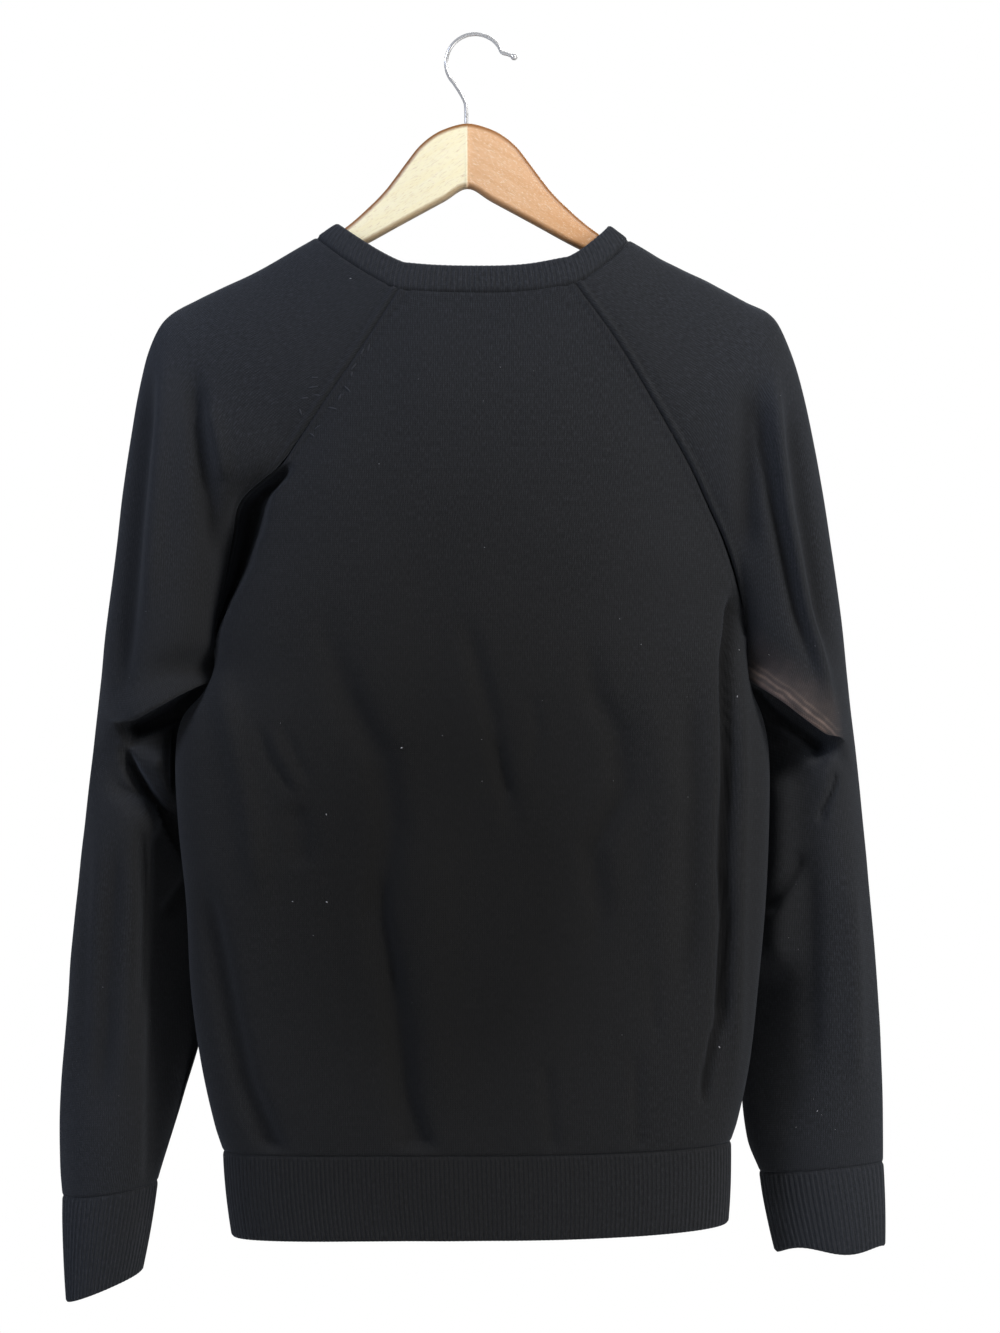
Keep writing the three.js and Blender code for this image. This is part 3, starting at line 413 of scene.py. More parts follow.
def knitMaterial(name, ribbed=False, paleLip=False):
    # Wool: matt, each yarn spun from lighter and darker fibres, with a short fuzz that catches the light.
    # Stitches are 1.65 mm wide and 1.3 mm tall, a little V each.
    look = knitLook
    material, tree, shader = newMaterial(name)
    add = partial(addNode, tree)
    uv = add("UVMap", uv_map="knitUv")
    place = add("TexCoord")
    across = add("SeparateXYZ", {0: uv})
    waver = add("TexNoise", {"Vector": (place, "Object"), "Scale": 25.0, "Detail": 1.0})
    wavered = add("Math", {0: waver, 1: 0.5, 2: -0.25}, operation="MULTIPLY_ADD")
    wale = add("Math", {0: across, 1: 1000 / knit["wale"], 2: wavered}, operation="MULTIPLY_ADD")
    course = add("Math", {0: (across, 1), 1: 1000 / knit["course"]}, operation="MULTIPLY")
    inWale = add("Math", {0: wale}, operation="FRACT")
    offMiddle = add("Math", {0: inWale, 1: 0.5}, operation="SUBTRACT")
    side = add("Math", {0: offMiddle}, operation="ABSOLUTE")  # 0 in a wale's middle, 0.5 at its edge
    chevron = add("Math", {0: side, 1: -1.1, 2: course}, operation="MULTIPLY_ADD")
    turn = add("Math", {0: chevron, 1: 2 * math.pi}, operation="MULTIPLY")
    swing = add("Math", {0: turn}, operation="SINE")
    loop = add("Math", {0: swing, 1: 0.5, 2: 0.5}, operation="MULTIPLY_ADD")
    toEdge = add("Math", {0: side, 1: 2.0}, operation="MULTIPLY")
    edge = add("Math", {0: toEdge, 1: 3.0}, operation="POWER")
    groove = add("Math", {0: 1.0, 1: edge}, operation="SUBTRACT")
    loopHeight = add("Math", {0: loop, 1: 0.55, 2: 0.45}, operation="MULTIPLY_ADD")
    stitch = add("Math", {0: groove, 1: loopHeight}, operation="MULTIPLY")
    fibres = add("TexNoise", {"Vector": (place, "Object"), "Scale": 1500.0, "Detail": 2.0})
    yarnPlace = add("Mapping", {"Vector": uv, "Scale": (1100.0, 260.0, 1.0)})
    heather = add("TexNoise", {"Vector": yarnPlace, "Scale": 1.0, "Detail": 3.0, "Roughness": 0.7})
    yarn = add("ValToRGB", {0: heather})
    ramp = yarn.color_ramp
    ramp.elements[0].position, ramp.elements[0].color = 0.3, linear(look["dark"])
    ramp.elements[1].position, ramp.elements[1].color = 0.72, linear(look["light"])
    ramp.elements.new(0.5).color = linear(look["mid"])
    faded = add("TexNoise", {"Vector": (place, "Object"), "Scale": 7.0, "Detail": 3.0})
    fadeShare = add("Math", {0: faded, 1: 0.9, 2: -0.25}, operation="MULTIPLY_ADD")
    colour = add("Mix", {0: fadeShare, 6: yarn, 7: linear(look["fade"])}, data_type="RGBA")
    if paleLip:  # paler and browner along the elbow fold's lip, in pale lines that follow it
        rub = add("Attribute", attribute_name="rubShade")
        gap = add("Attribute", attribute_name="lipGap")
        patchy = add("TexNoise", {"Vector": (place, "Object"), "Scale": 90.0, "Detail": 4.0})
        wander = add("TexNoise", {"Vector": (place, "Object"), "Scale": 32.0, "Detail": 3.0})
        drift = add("Math", {0: wander, 1: 7.0, 2: -3.5}, operation="MULTIPLY_ADD")
        wandering = add("Math", {0: (gap, "Fac"), 1: drift}, operation="ADD")
        turns = 2 * math.pi / look["paleLineGap"]
        phase = add("Math", {0: wandering, 1: turns, 2: -2.05}, operation="MULTIPLY_ADD")
        swing = add("Math", {0: phase}, operation="COSINE")
        lines = add("Math", {0: swing, 1: 0.5, 2: 0.5}, operation="MULTIPLY_ADD")
        thin = add("Math", {0: lines, 1: 1.6}, operation="POWER")
        near = add("MapRange", {"Value": (gap, "Fac"), "From Min": 3.0, "From Max": 14.0, "To Min": 0.7,
                                "To Max": 0.0})
        haze = add("MapRange", {"Value": (gap, "Fac"), "From Max": 34.0, "To Min": 0.34, "To Max": 0.0})
        streaks = add("Math", {0: thin, 1: near, 2: haze}, operation="MULTIPLY_ADD")
        patch = add("Math", {0: patchy, 1: 1.7, 2: 0.1}, operation="MULTIPLY_ADD")
        patched = add("Math", {0: streaks, 1: patch}, operation="MULTIPLY")
        paleLipShare = add("Math", {0: (rub, "Fac"), 1: patched}, operation="MULTIPLY")
        colour = add("Mix", {0: paleLipShare, 6: (colour, 2), 7: linear(look["paleLip"])}, data_type="RGBA")
    # painted light and shade: the middle of the body is painted darker and warmer, the shoulders and the
    # sleeves lighter and cooler
    offset = add("VectorMath", {0: (place, "Object"), 1: (-0.025, 0.0, -0.62)}, operation="SUBTRACT")
    squashed = add("VectorMath", {0: offset, 1: (2.7, 0.0, 1.9)}, operation="MULTIPLY")
    reach = add("VectorMath", {0: squashed}, operation="LENGTH")
    span = {"Value": (reach, "Value"), "From Min": 0.2, "From Max": 0.95}
    paintedLightFalloff = add("MapRange", {**span, "To Min": 0.25, "To Max": 1.17})
    # painted shade and light: the colour is darker in the grooves between stitches, and on the ribbing
    # lighter on the raised ribs than between them
    depth = add("Math", {0: stitch, 1: 0.5, 2: 0.62}, operation="MULTIPLY_ADD")
    if ribbed:
        rib = add("Attribute", attribute_name="ribHeight")
        ribLight = add("Math", {0: (rib, "Fac"), 1: 0.24, 2: 0.98}, operation="MULTIPLY_ADD")
        depth = add("Math", {0: depth, 1: ribLight}, operation="MULTIPLY")
    depth = add("Math", {0: depth, 1: paintedLightFalloff}, operation="MULTIPLY")
    # painted light tint, warm in the middle of the body and cool towards the shoulders and sleeves
    coolLightShare = add("MapRange", span)
    tint = add("Mix", {0: coolLightShare, 6: linear(look["paintedWarmLight"]), 7: linear(look["paintedCoolLight"])}, data_type="RGBA")
    tinted = add("Mix", {0: 1.0, 6: (colour, 2), 7: (tint, 2)}, data_type="RGBA", blend_type="MULTIPLY")
    shaded = add("Mix", {0: 1.0, 6: (tinted, 2), 7: depth}, data_type="RGBA", blend_type="MULTIPLY")
    # painted shade: the seam grooves and the creases darkened towards the near-black seam colour
    seam = add("Attribute", attribute_name="seamShade")
    seamed = add("Mix", {0: (seam, "Fac"), 6: (shaded, 2), 7: linear(look["seam"])}, data_type="RGBA")
    if not ribbed:  # the little marks where stitches were taken in beside the raglan seams
        raglan = add("Attribute", attribute_name="raglanGap")
        run = add("Attribute", attribute_name="raglanRun")
        offBand = add("Math", {0: (raglan, "Fac"), 1: look["markFromSeam"]}, operation="SUBTRACT")
        away = add("Math", {0: offBand}, operation="ABSOLUTE")
        band = add("MapRange", {"Value": away, "From Min": 1.0, "From Max": 2.2, "To Min": 1.0,
                                "To Max": 0.0})
        marks = add("Math", {0: (run, "Fac"), 1: 1 / look["markPitch"]}, operation="MULTIPLY")
        inMark = add("Math", {0: marks}, operation="FRACT")
        tick = add("Math", {0: inMark, 1: 0.38}, operation="LESS_THAN")
        mark = add("Math", {0: band, 1: tick}, operation="MULTIPLY")
        stitch = add("Math", {0: mark, 1: -0.5, 2: stitch}, operation="MULTIPLY_ADD")
        markShade = add("Math", {0: mark, 1: 0.22}, operation="MULTIPLY")
        seamed = add("Mix", {0: markShade, 6: (seamed, 2), 7: linear(look["seam"])}, data_type="RGBA")
    relief = add("Math", {0: fibres, 1: 0.5, 2: stitch}, operation="MULTIPLY_ADD")
    bump = add("Bump", {"Height": relief, "Strength": 0.45, "Distance": 0.0004})
    tree.links.new(seamed.outputs[2], shader.inputs["Base Color"])
    tree.links.new(bump.outputs[0], shader.inputs["Normal"])
    setSockets(shader, sheenTint=linear(look["sheenTint"]),
               **{key: look[key] for key in ("roughness", "sheen", "sheenRoughness", "specular")})
    return material


jersey = knitMaterial("wool_jersey_knit")
paleLipJersey = knitMaterial("wool_jersey_knit_pale_lip", paleLip=True)
ribbing = knitMaterial("wool_rib_knit", ribbed=True)
print("materials for the wool are made")


# The plain knit panels and sleeves.
def gridOn(surface):
    denseS, denseU = np.linspace(0, 2, 1201), np.linspace(0, 1, 301)
    down = surface(np.array([0.02, 0.25, 0.5, 0.75, 0.98]), denseS)
    across = surface(denseU, np.array([0.5, 1.0, 1.5])).transpose(1, 0, 2)
    places = []
    for lines, dense in ((across, denseU), (down, denseS)):
        joined = lines.reshape(len(dense), -1) / math.sqrt(lines.shape[1])
        places.append(evenParameters(joined, spread(lengthOf(joined)), dense))
    return surface(*places), places[0], places[1]


def easeAlong(points, reach):  # evens out the cloth down its length, the ends kept where they are
    rows = len(points)
    k = np.arange(-3 * reach, 3 * reach + 1)
    weight = np.exp(-(k / reach)**2)
    weight /= weight.sum()
    before, after = 2 * points[:1] - points[3 * reach:0:-1], 2 * points[-1:] - points[-2:-2 - 3 * reach:-1]
    padded = np.concatenate([before, points, after])
    return sum(w * padded[i:i + rows] for i, w in enumerate(weight))


def easePanel(points, u, s):
    run = runAlong(points, 1)
    fromSeam = np.minimum(run, run[:, [-1]] - run)
    fromSeam = np.where((s > 1.02)[:, None], fromSeam + 8, fromSeam)
    return points + (easeAlong(points, 7) - points) * smoothStep(fromSeam, 2, 26)[..., None]


armpitGap = dict(  # places and widths by height
    edge=[(-437, -197), (-427, -190), (-409, -181), (-383, -165), (-351, -155), (-325, -149), (-308, -143)],
    wide=[(-430, 3), (-409, 5), (-383, 11), (-345, 17), (-318, 12), (-303, 5)], depth=30)


def easeBack(points, u, s):  # the back also drops away into the gap at the left armpit
    points = easePanel(points, u, s)
    x, y, z = (points[..., k] for k in range(3))
    edge, wide = (np.interp(z, *np.array(armpitGap[key]).T) for key in ("edge", "wide"))
    start = x[:, [0]] + wide
    edge = np.maximum(edge + 3, start + 5)
    # a facet between the gap and the back
    inside = np.clip((edge - x) / np.maximum(edge - start, 3), 0, 1)**0.6
    inside = inside * smoothStep(z, -446, -430) * (1 - smoothStep(z, -326, -309))
    offMiddle = abs(x - x[:, [0]] - wide / 2 - 1.5) / (wide / 2)
    floor = points[:, [0], 1] - 1 + armpitGap["depth"] * np.exp(-offMiddle**3)
    points[..., 1] = y + (np.maximum(floor, y) - y) * inside
    return points


elbowEase = dict(shift=8, shiftAt=1.07, shiftSpan=0.09)


def easeSleeve(inward, step=None):  # the outer side stays smooth past the elbow's fold
    def ease(points, u, s):
        nearFold = smoothStep(s, 0.95, 1.1) * (1 - smoothStep(s, 1.45, 1.6))
        outer = (smoothStep(u, 0.30, 0.46)[None, :] * nearFold[:, None])[..., None]
        smooth = easeAlong(easeAlong(points, 12), 12)
        points = points + (smooth - points) * outer
        nearSeam = 1 - smoothStep(np.minimum(u, 1 - u), 0.04, 0.2)
        shifted = np.exp(-((s - elbowEase["shiftAt"]) / elbowEase["shiftSpan"])**2)
        points[..., 0] += inward * elbowEase["shift"] * shifted[:, None] * nearSeam[None, :]
        if step:
            x, z = points[..., 0], points[..., 2]
            past = smoothStep(x - np.interp(z, *np.array(step["line"]).T), 0, 3.5) * (u < 0.5)[None, :]
            low, high = step["low"], step["high"]
            past = past * smoothStep(z, low - 30, low) * (1 - smoothStep(z, high, high + 25))
            points[..., 1] += step["depth"] * past
        return points
    return ease


seams = dict(groove=1.1, ridgeAt=3.4, ridgeWidth=1.6, dipAt=7.0, dipWidth=2.4, dip=0.5, flatShade=0.22,
             shade=0.55)
elbowLip = dict(start=(196, 212), end=(262, 272), tilt=0.8, height=0.9, middle=1.5, width=2.4)


def jerseyPiece(key, node, outward, material, ease, folds, soft, seed, seamRidge=0.0, lip=None, gaps=None):
    points, u, s = gridOn(surfaces[key])
    points = ease(points, u, s)
    normals = normalsOf(points, outward)
    runX, runS = runAlong(points, 1), runAlong(points, 0)
    middle = np.argmin(abs(u - 0.5))
    uv = np.stack([runX - runX[:, [middle]], np.repeat(-runS[:, [middle]], len(u), axis=1)], axis=2)
    toSide = np.minimum(runX, runX[:, [-1]] - runX)  # to the nearer seam up the sides
    toEnd = np.minimum(runS, runS[[-1]] - runS)
    toSeam = np.minimum(toSide, toEnd)
    inYoke = (s < 1)[:, None]
    low = (s > 1)[:, None] & (toEnd <= toSide)
    inGroove = np.exp(-(toSeam / seams["groove"])**2)
    underarm = 1 - 0.8 * np.exp(-((s - 1.03) / 0.08)**2)[:, None]
    relief = -np.where(low, 0.55, 1.0) * underarm * inGroove
    relief = relief + seamRidge * np.exp(-((toSide - seams["ridgeAt"]) / seams["ridgeWidth"])**2) * inYoke
    relief = relief - seams["dip"] * np.exp(-((toSide - seams["dipAt"]) / seams["dipWidth"])**2) * inYoke
    x, z = points[..., 0], points[..., 2]
    loose = smoothStep(toSeam, 2, 30)
    relief = relief + loose * soft * softNoise(x, z, 34, 150, seed)
    relief = relief + loose * knit["fineNoise"] * softNoise(x + 7, z, 11, 26, seed + 1)
    crease, valley = np.zeros_like(x), np.zeros_like(x)
    for window, paths in folds:
        shown = window(u)[None, :] * smoothStep(toSeam, 0, 12)
        relief = relief + foldRelief(points, paths) * shown
        dips = [each for each in paths if each["depth"] > 0]
        crease = crease - foldRelief(points, [each for each in dips if each["width"] < 5]) * shown
        valley = valley - foldRelief(points, [each for each in dips if each["width"] >= 5]) * shown
    # painted shade darkens the creases and the broad fold valleys, and the painted seam shade is lighter
    # along the left raglan seam and the seams at the lower ends
    paintedCreaseShade = np.maximum(0.78 * smoothStep(crease, 1.0, 5.5), 0.34 * smoothStep(valley, 0.4, 6.5))
    flat = low | ((x < 0) & (s < 0.75)[:, None])
    seamDark = inGroove * np.where(flat, seams["flatShade"], seams["shade"])
    values = dict(seamShade=np.maximum(seamDark, paintedCreaseShade), raglanGap=np.where(inYoke, toSide, 99.0),
                  raglanRun=runS)
    if lip:  # the elbow fold's lip: a low bulge along it, and the share for the pale brown lines along it
        above = (z - np.interp(x, *np.array(lip, float).T)) * elbowLip["tilt"]
        along = smoothStep(x, *elbowLip["start"]) * (1 - smoothStep(x, *elbowLip["end"]))
        along = along * (u < 0.45)[None, :] * (s < 1.13)[:, None]
        values.update(lipGap=above, rubShade=along)
        bulge = np.exp(-((above - elbowLip["middle"]) / elbowLip["width"])**2)
        relief = relief + along * elbowLip["height"] * bulge
    moved = points + normals * relief[..., None]
    if gaps:  # under the elbow's fold the cloth falls straight back, out of the light
        below = smoothStep(s, 1.125, 1.15)[:, None] * (1 - smoothStep(u, 0.40, 0.5))[None, :]
        below = below * smoothStep(toSide, 3, 14)
        pushed = moved[..., 1] - foldRelief(points, gaps) * below
        moved[..., 1] = np.minimum(pushed, np.maximum(moved[..., 1], 70))  # never through the sleeve's front
    return clothPiece(node + "_knit", node, moved, normals, uv, values, knit["wall"], material)


backFolds = [
    fold(3.4, 11, (-110, -400), (-105, -434), (-90, -481), (-67, -523), (-60, -570), (-70, -635),
         (-63, -666), (-55, -707), (-50, -766), (-42, -808), openEnd=True),
    fold(1.6, 5, (-68, -600), (-66, -640), (-61, -668), (-56, -700)),
    fold(-1.2, 16, (-38, -560), (-36, -640), (-30, -720), (-20, -790)),
    fold(2.0, 7, (-10, -410), (-4, -434), (14, -499), (18, -529), (26, -559), (32, -585)),
    fold(1.2, 3.5, (15, -505), (19, -530), (26, -556)),
    fold(0.9, 5, (38, -470), (46, -505), (40, -535)),
    fold(2.6, 9, (79, -420), (80, -440), (88, -478), (103, -505), (107, -546), (85, -588), (91, -635),
         (80, -680)),
    fold(-2.0, 13, (120, -440), (126, -481), (139, -553), (134, -625), (129, -696)),
    fold(2.2, 10, (157, -440), (158, -520), (157, -642), (150, -720)),
    fold(0.9, 4, (126, -666), (131, -731)),
    fold(1.2, 4.5, (116, -730), (118, -806), openEnd=True),
    fold(1.3, 4.5, (51, -735), (57, -812), openEnd=True),
    fold(5.6, 4.2, (190, -396), (188, -426), (184, -449), (183, -481), (183, -539), (181, -568),
         (180, -603), (182, -638), (180, -690), (178, -728), fade=0.08),
    fold(-2.2, 6, (194, -440), (193, -540), (191, -640), (190, -730), (184, -790)),
    fold(3.0, 3.2, (178, -707), (168, -752), (165, -780)),
    fold(3.6, 9, (-197, -600), (-197, -618), (-179, -707), (-167, -760), (-146, -808), openEnd=True),
    fold(-2.4, 9, (-187, -446), (-182, -477), (-173, -514), (-161, -571), (-155, -636)),
    fold(0.9, 3.0, (-141, -494), (-128, -522), (-118, -544)),
    fold(1.1, 3.8, (-159, -493), (-149, -523), (-137, -541), (-128, -553)),
    fold(-0.8, 3.0, (-150, -500), (-137, -526), (-124, -550)),
    fold(1.8, 9, (-132, -553), (-126, -575), (-123, -606)),
    fold(1.2, 6, (-65, -660), (-49, -770), (-32, -808), openEnd=True),
]
frontFolds = [
    fold(3.0, 12, (-92, -430), (-80, -520), (-84, -640), (-70, -790), openEnd=True),
    fold(2.0, 10, (-20, -450), (-8, -560), (-14, -700)),
    fold(3.0, 11, (70, -440), (88, -540), (80, -660), (86, -790), openEnd=True),
    fold(2.2, 10, (140, -470), (150, -600), (142, -740)),
    fold(2.4, 10, (-150, -470), (-140, -590), (-150, -730)),
    fold(1.4, 7, (40, -640), (46, -740), (40, -806), openEnd=True),
    fold(1.2, 6, (-40, -700), (-36, -800), openEnd=True),
]
leftSleeveFolds = [
    fold(5.0, 9, (-240, -215), (-243, -271), (-250, -350), (-256, -420), (-262, -500)),
    fold(-2.5, 8, (-226, -215), (-229, -271), (-234, -350), (-240, -430)),
    fold(4.2, 7, (-206, -230), (-205, -254), (-200, -293), (-193, -341), (-189, -390)),
    fold(-2.0, 6, (-195, -262), (-187, -293), (-181, -325)),
    fold(-3.0, 6, (-262, -530), (-250, -558), (-236, -586)),
    fold(3.0, 2.8, (-222, -490), (-222, -563)),
    fold(1.8, 5, (-213, -612), (-222, -626), (-234, -645)),
    fold(3.2, 9, (-262, -560), (-268, -640), (-272, -720), (-280, -800)),
    fold(-1.8, 7, (-252, -590), (-256, -680), (-258, -780)),
    fold(2.6, 7, (-290, -560), (-292, -680), (-296, -790)),
]
rightSleeveFolds = [
    fold(-4.6, 4.6, (213, -225), (218, -243), (222, -297), (227, -338), (235, -379), (242, -413),
         (251, -446), (258, -478), (266, -505)),
    fold(2.6, 4.5, (206, -235), (210, -297), (217, -340), (226, -381), (233, -415), (243, -448),
         (251, -476)),
    fold(3.4, 8, (230, -240), (234, -297), (240, -350), (250, -420), (262, -470)),
    fold(4.0, 9, (203, -240), (201, -264), (200, -293), (198, -351), (196, -389)),
    fold(3.0, 6, (240, -590), (225, -620), (210, -644)),
    fold(1.5, 8, (244, -580), (247, -680), (248, -770)),
    fold(-2.0, 8, (274, -590), (280, -680), (282, -780)),
]
sleeveHiddenFolds = [
    fold(2.4, 9, (-225, -260), (-232, -340), (-240, -420)),
    fold(2.2, 8, (-268, -560), (-272, -680), (-276, -800)),
    fold(2.4, 9, (222, -260), (230, -340), (238, -420)),
    fold(2.2, 8, (254, -560), (262, -680), (264, -780)),
]
leftElbowGaps = [
    fold(36, 8.5, (-262, -507), (-250, -504), (-236, -498), (-222, -490), (-208, -480), (-196, -474),
         fade=0.12),
    fold(17, 4.2, (-262, -512), (-252, -536), (-240, -560), (-226, -586), (-216, -604), fade=0.2),
    fold(-17, 12, (-240, -512), (-230, -530), (-221, -552), (-215, -572), fade=0.3),
    fold(8, 3.2, (-246, -566), (-245, -640), (-246, -720), fade=0.2),
]
rightElbowGaps = [
    fold(26, 7.5, (202, -474), (217, -488), (236, -503), (262, -524), fade=0.12),
    fold(4.5, 2.4, (266, -532), (263, -546), (256, -562), (252, -574), fade=0.2),
    fold(-22, 17, (219, -516), (219, -600), (215, -700), fade=0.2),
]
rightLip = [(196, -462), (211, -472), (224, -482), (237, -492), (252, -504), (266, -517)]
leftStep = dict(line=[(-830, -248), (-700, -245), (-565, -241)], low=-815, high=-570, depth=9)


def backSide(u):
    return 1.8 * np.ones_like(u)


def sleeveBackSide(u):
    return 1.75 * (1 - smoothStep(u, 0.40, 0.5))


def sleeveFrontSide(u):
    return smoothStep(u, 0.5, 0.60)


hidden = (sleeveFrontSide, sleeveHiddenFolds)
panels = dict(
    back=jerseyPiece("back", "back_panel", (0, -1, 0), jersey, easeBack, [(backSide, backFolds)],
                     soft=0.9, seed=11),
    front=jerseyPiece("front", "front_panel", (0, 1, 0), jersey, easePanel, [(np.ones_like, frontFolds)],
                      soft=0.9, seed=21),
    left=jerseyPiece("left", "sleeve_left", (-1, 0, 0), jersey, easeSleeve(1, leftStep),
                     [(sleeveBackSide, leftSleeveFolds), hidden], soft=0.8, seed=31, seamRidge=0.5,
                     gaps=leftElbowGaps),
    right=jerseyPiece("right", "sleeve_right", (1, 0, 0), paleLipJersey, easeSleeve(-1),
                      [(sleeveBackSide, rightSleeveFolds), hidden], soft=0.8, seed=41, seamRidge=0.9,
                      lip=rightLip, gaps=rightElbowGaps),
)
print("the four plain knit pieces are made")


neckBand = dict(ribs=158, bulge=1.2, ribHeight=0.26, seamShade=0.9, depth=20, lean=0.86, leanUpright=0.93,
                flat=0.48, backY=-20, sideY=18, frontY=86)
hemBand = dict(ribs=244, bulge=1.0, ribHeight=0.28, seamShade=0.3)
cuffBand = dict(ribs=52, bulge=0.8, ribHeight=0.3, seamShade=0.3)


def ribBand(name, node, seamLoop, edgeLoop, band):
    ribs, seamShade, perRib = band["ribs"], band["seamShade"], 6
    columns = ribs * perRib
    halfway = (seamLoop + edgeLoop) / 2
    share = np.arange(columns + 1) / columns
    at = evenParameters(halfway, share, np.arange(len(seamLoop), dtype=float))
    low, part = np.minimum(at.astype(int), len(seamLoop) - 2), (at % 1)[:, None]
    part = np.where((at >= len(seamLoop) - 1)[:, None], 1.0, part)
    seam = seamLoop[low] * (1 - part) + seamLoop[low + 1] * part
    edge = edgeLoop[low] * (1 - part) + edgeLoop[low + 1] * part
    depth = np.linalg.norm(edge - seam, axis=1).mean()
    rows = spread(depth) if depth > 30 else np.linspace(0, 1, int(depth / 1.3))
    away = (seam + edge) / 2 - halfway.mean(axis=0)
    away[:, 2] = 0
    away /= np.maximum(np.linalg.norm(away, axis=1, keepdims=True), 1e-6)
    t = rows[:, None, None]
    points = seam[None] * (1 - t) + edge[None] * t + away[None] * band["bulge"] * 4 * t * (1 - t)
    points[:, -1] = points[:, 0]
    normals = normalsOf(points, away[columns // 2], ring=True)
    runS = runAlong(points, 0)
    toSeam, toEdge = runS, runS[[-1]] - runS
    wave = np.cos(share * ribs * 2 * math.pi)
    profile = np.sign(wave) * abs(wave)**0.7
    rng = np.random.default_rng(len(name))
    uneven = 1 + 0.18 * np.repeat(rng.uniform(-1, 1, ribs), perRib)
    uneven = np.append(uneven, uneven[0])
    shown = smoothStep(toSeam, 0.5, 4) * (1 - 0.5 * (1 - smoothStep(toEdge, 0, 2.0)))
    relief = band["ribHeight"] * (profile * uneven)[None, :] * shown
    relief = relief - (0.5 + seamShade) * np.exp(-(toSeam / 1.3)**2) - 0.9 * np.exp(-(toEdge / 1.0)**2)
    x, z = points[..., 0] + points[..., 1] * 0.7, points[..., 2]
    relief = relief + 0.5 * softNoise(x, z, 30, 90, 51 + len(name)) * smoothStep(toSeam, 2, 20)
    uv = np.stack([np.repeat((share * lengthOf(halfway))[None], len(rows), axis=0), -runS], axis=2)
    values = dict(seamShade=np.exp(-(toSeam / seams["groove"])**2) * seamShade,
                  ribHeight=np.repeat((0.5 + 0.5 * profile)[None], len(rows), axis=0))
    moved = points + normals * relief[..., None]
    moved[0] = points[0] + (seam - edge) / depth * 2.6 - normals[0] * 1.7  # tucked under its neighbours
    moved[:, -1] = moved[:, 0]
    return clothPiece(name, node, moved, normals, uv, values, knit["ribWall"], ribbing, ring=True)


def joinLoops(*parts):  # end to end, then closed
    loop = np.concatenate([part[:-1] for part in parts])
    return np.concatenate([loop, loop[:1]])


many = np.linspace(0, 1, 161)
neckRow = {key: surface(many, np.array([0.0]))[0] for key, surface in surfaces.items()}
lowRow = {key: surface(many, np.array([2.0]))[0] for key, surface in surfaces.items()}

neckSeam = joinLoops(neckRow["back"], neckRow["right"], neckRow["front"][::-1], neckRow["left"][::-1])
y = neckSeam[:, 1]
upright = np.where(y < neckBand["sideY"], (neckBand["sideY"] - y) / (neckBand["sideY"] - neckBand["backY"]),
                   (y - neckBand["sideY"]) / (neckBand["frontY"] - neckBand["sideY"]))
upright = np.sin(np.clip(upright, 0, 1) * math.pi / 2)
neckEdge = neckSeam.copy()
neckEdge[:, 0] *= neckBand["lean"] + (neckBand["leanUpright"] - neckBand["lean"]) * upright
neckEdge[:, 1] += np.where(y < neckBand["sideY"], 5, -7) * upright
neckEdge[:, 2] += neckBand["depth"] * (neckBand["flat"] + (1 - neckBand["flat"]) * upright)
neckPiece = ribBand("neck_ribbing", "neck_rib", neckSeam, neckEdge, neckBand)


def hemRow(face):
    left, right = (np.array([hemEdge[key]], float) for key in ("left", "right"))
    middle = (left + right) / 2
    middle[:, 1] = hemEdge[face + "Y"]
    reach = (middle[:, 1] - left[:, 1]) * knit["fullSide"]
    near = np.stack([0 * reach, reach, 0 * reach], axis=1)
    return halfRows(left, right, near, near, middle, many)[0]


hemPiece = ribBand("hem_ribbing", "hem_rib", joinLoops(lowRow["back"], lowRow["front"][::-1]),
                   joinLoops(hemRow("back"), hemRow("front")[::-1]), hemBand)


def cuffRow(edge, wave):
    row = sectionRows(lambda field: np.array(edge.get(field, edge["back"]), float)[None, None, :], many)[0]
    row[:, 2] += wave * np.cos(many * math.pi * 6)
    return row


cuffPieces = [
    ribBand("cuff_left_ribbing", "cuff_left", lowRow["left"], cuffRow(cuffEdges[0], 0), cuffBand),
    ribBand("cuff_right_ribbing", "cuff_right", lowRow["right"], cuffRow(cuffEdges[1], -3), cuffBand),
]
print("the ribbed bands are made")


hangerCut = dict(thickness=13, halfWidth=219.5, centreX=-5.5, sweep=45, bend=1.3, edge=4, ridge=0.7)
hangerOutline = [
    (18, -120), (49, -136), (72, -148), (100, -161.5), (150, -187), (198, -209), (213, -214.5),
    (219.5, -208), (211, -200), (192, -191.5), (162, -178.5), (137, -167), (111, -151.5), (87, -135.5),
    (70, -121), (60, -111), (52, -101), (44, -90.5), (35, -79.5), (24, -71), (12, -66),
]
notch, crown = (0, -110.5), (0, -63.8)
woodLook = dict(pale=("#fffbe0", "#fbefc0"), tan=("#ecc7a2", "#cf9a68"), tanEnd="#c78b50", fleck="#b98f62",
                speck="#f8ecd8", edge="#94622f")


def smoothPath(points, each, closed=False):  # a smooth run through the points
    p = np.array(points, float)
    count = len(p) if closed else len(p) - 1
    at = (lambda i: p[i % len(p)]) if closed else (lambda i: p[min(max(i, 0), len(p) - 1)])
    out = []
    for i in range(count):
        a, b, c, d = at(i - 1), at(i), at(i + 1), at(i + 2)
        for t in np.linspace(0, 1, each, endpoint=False):
            out.append(0.5 * (2 * b + (c - a) * t + (2 * a - 5 * b + 4 * c - d) * t**2
                              + (3 * b - a - 3 * c + d) * t**3))
    return np.array(out if closed else out + [p[-1]])


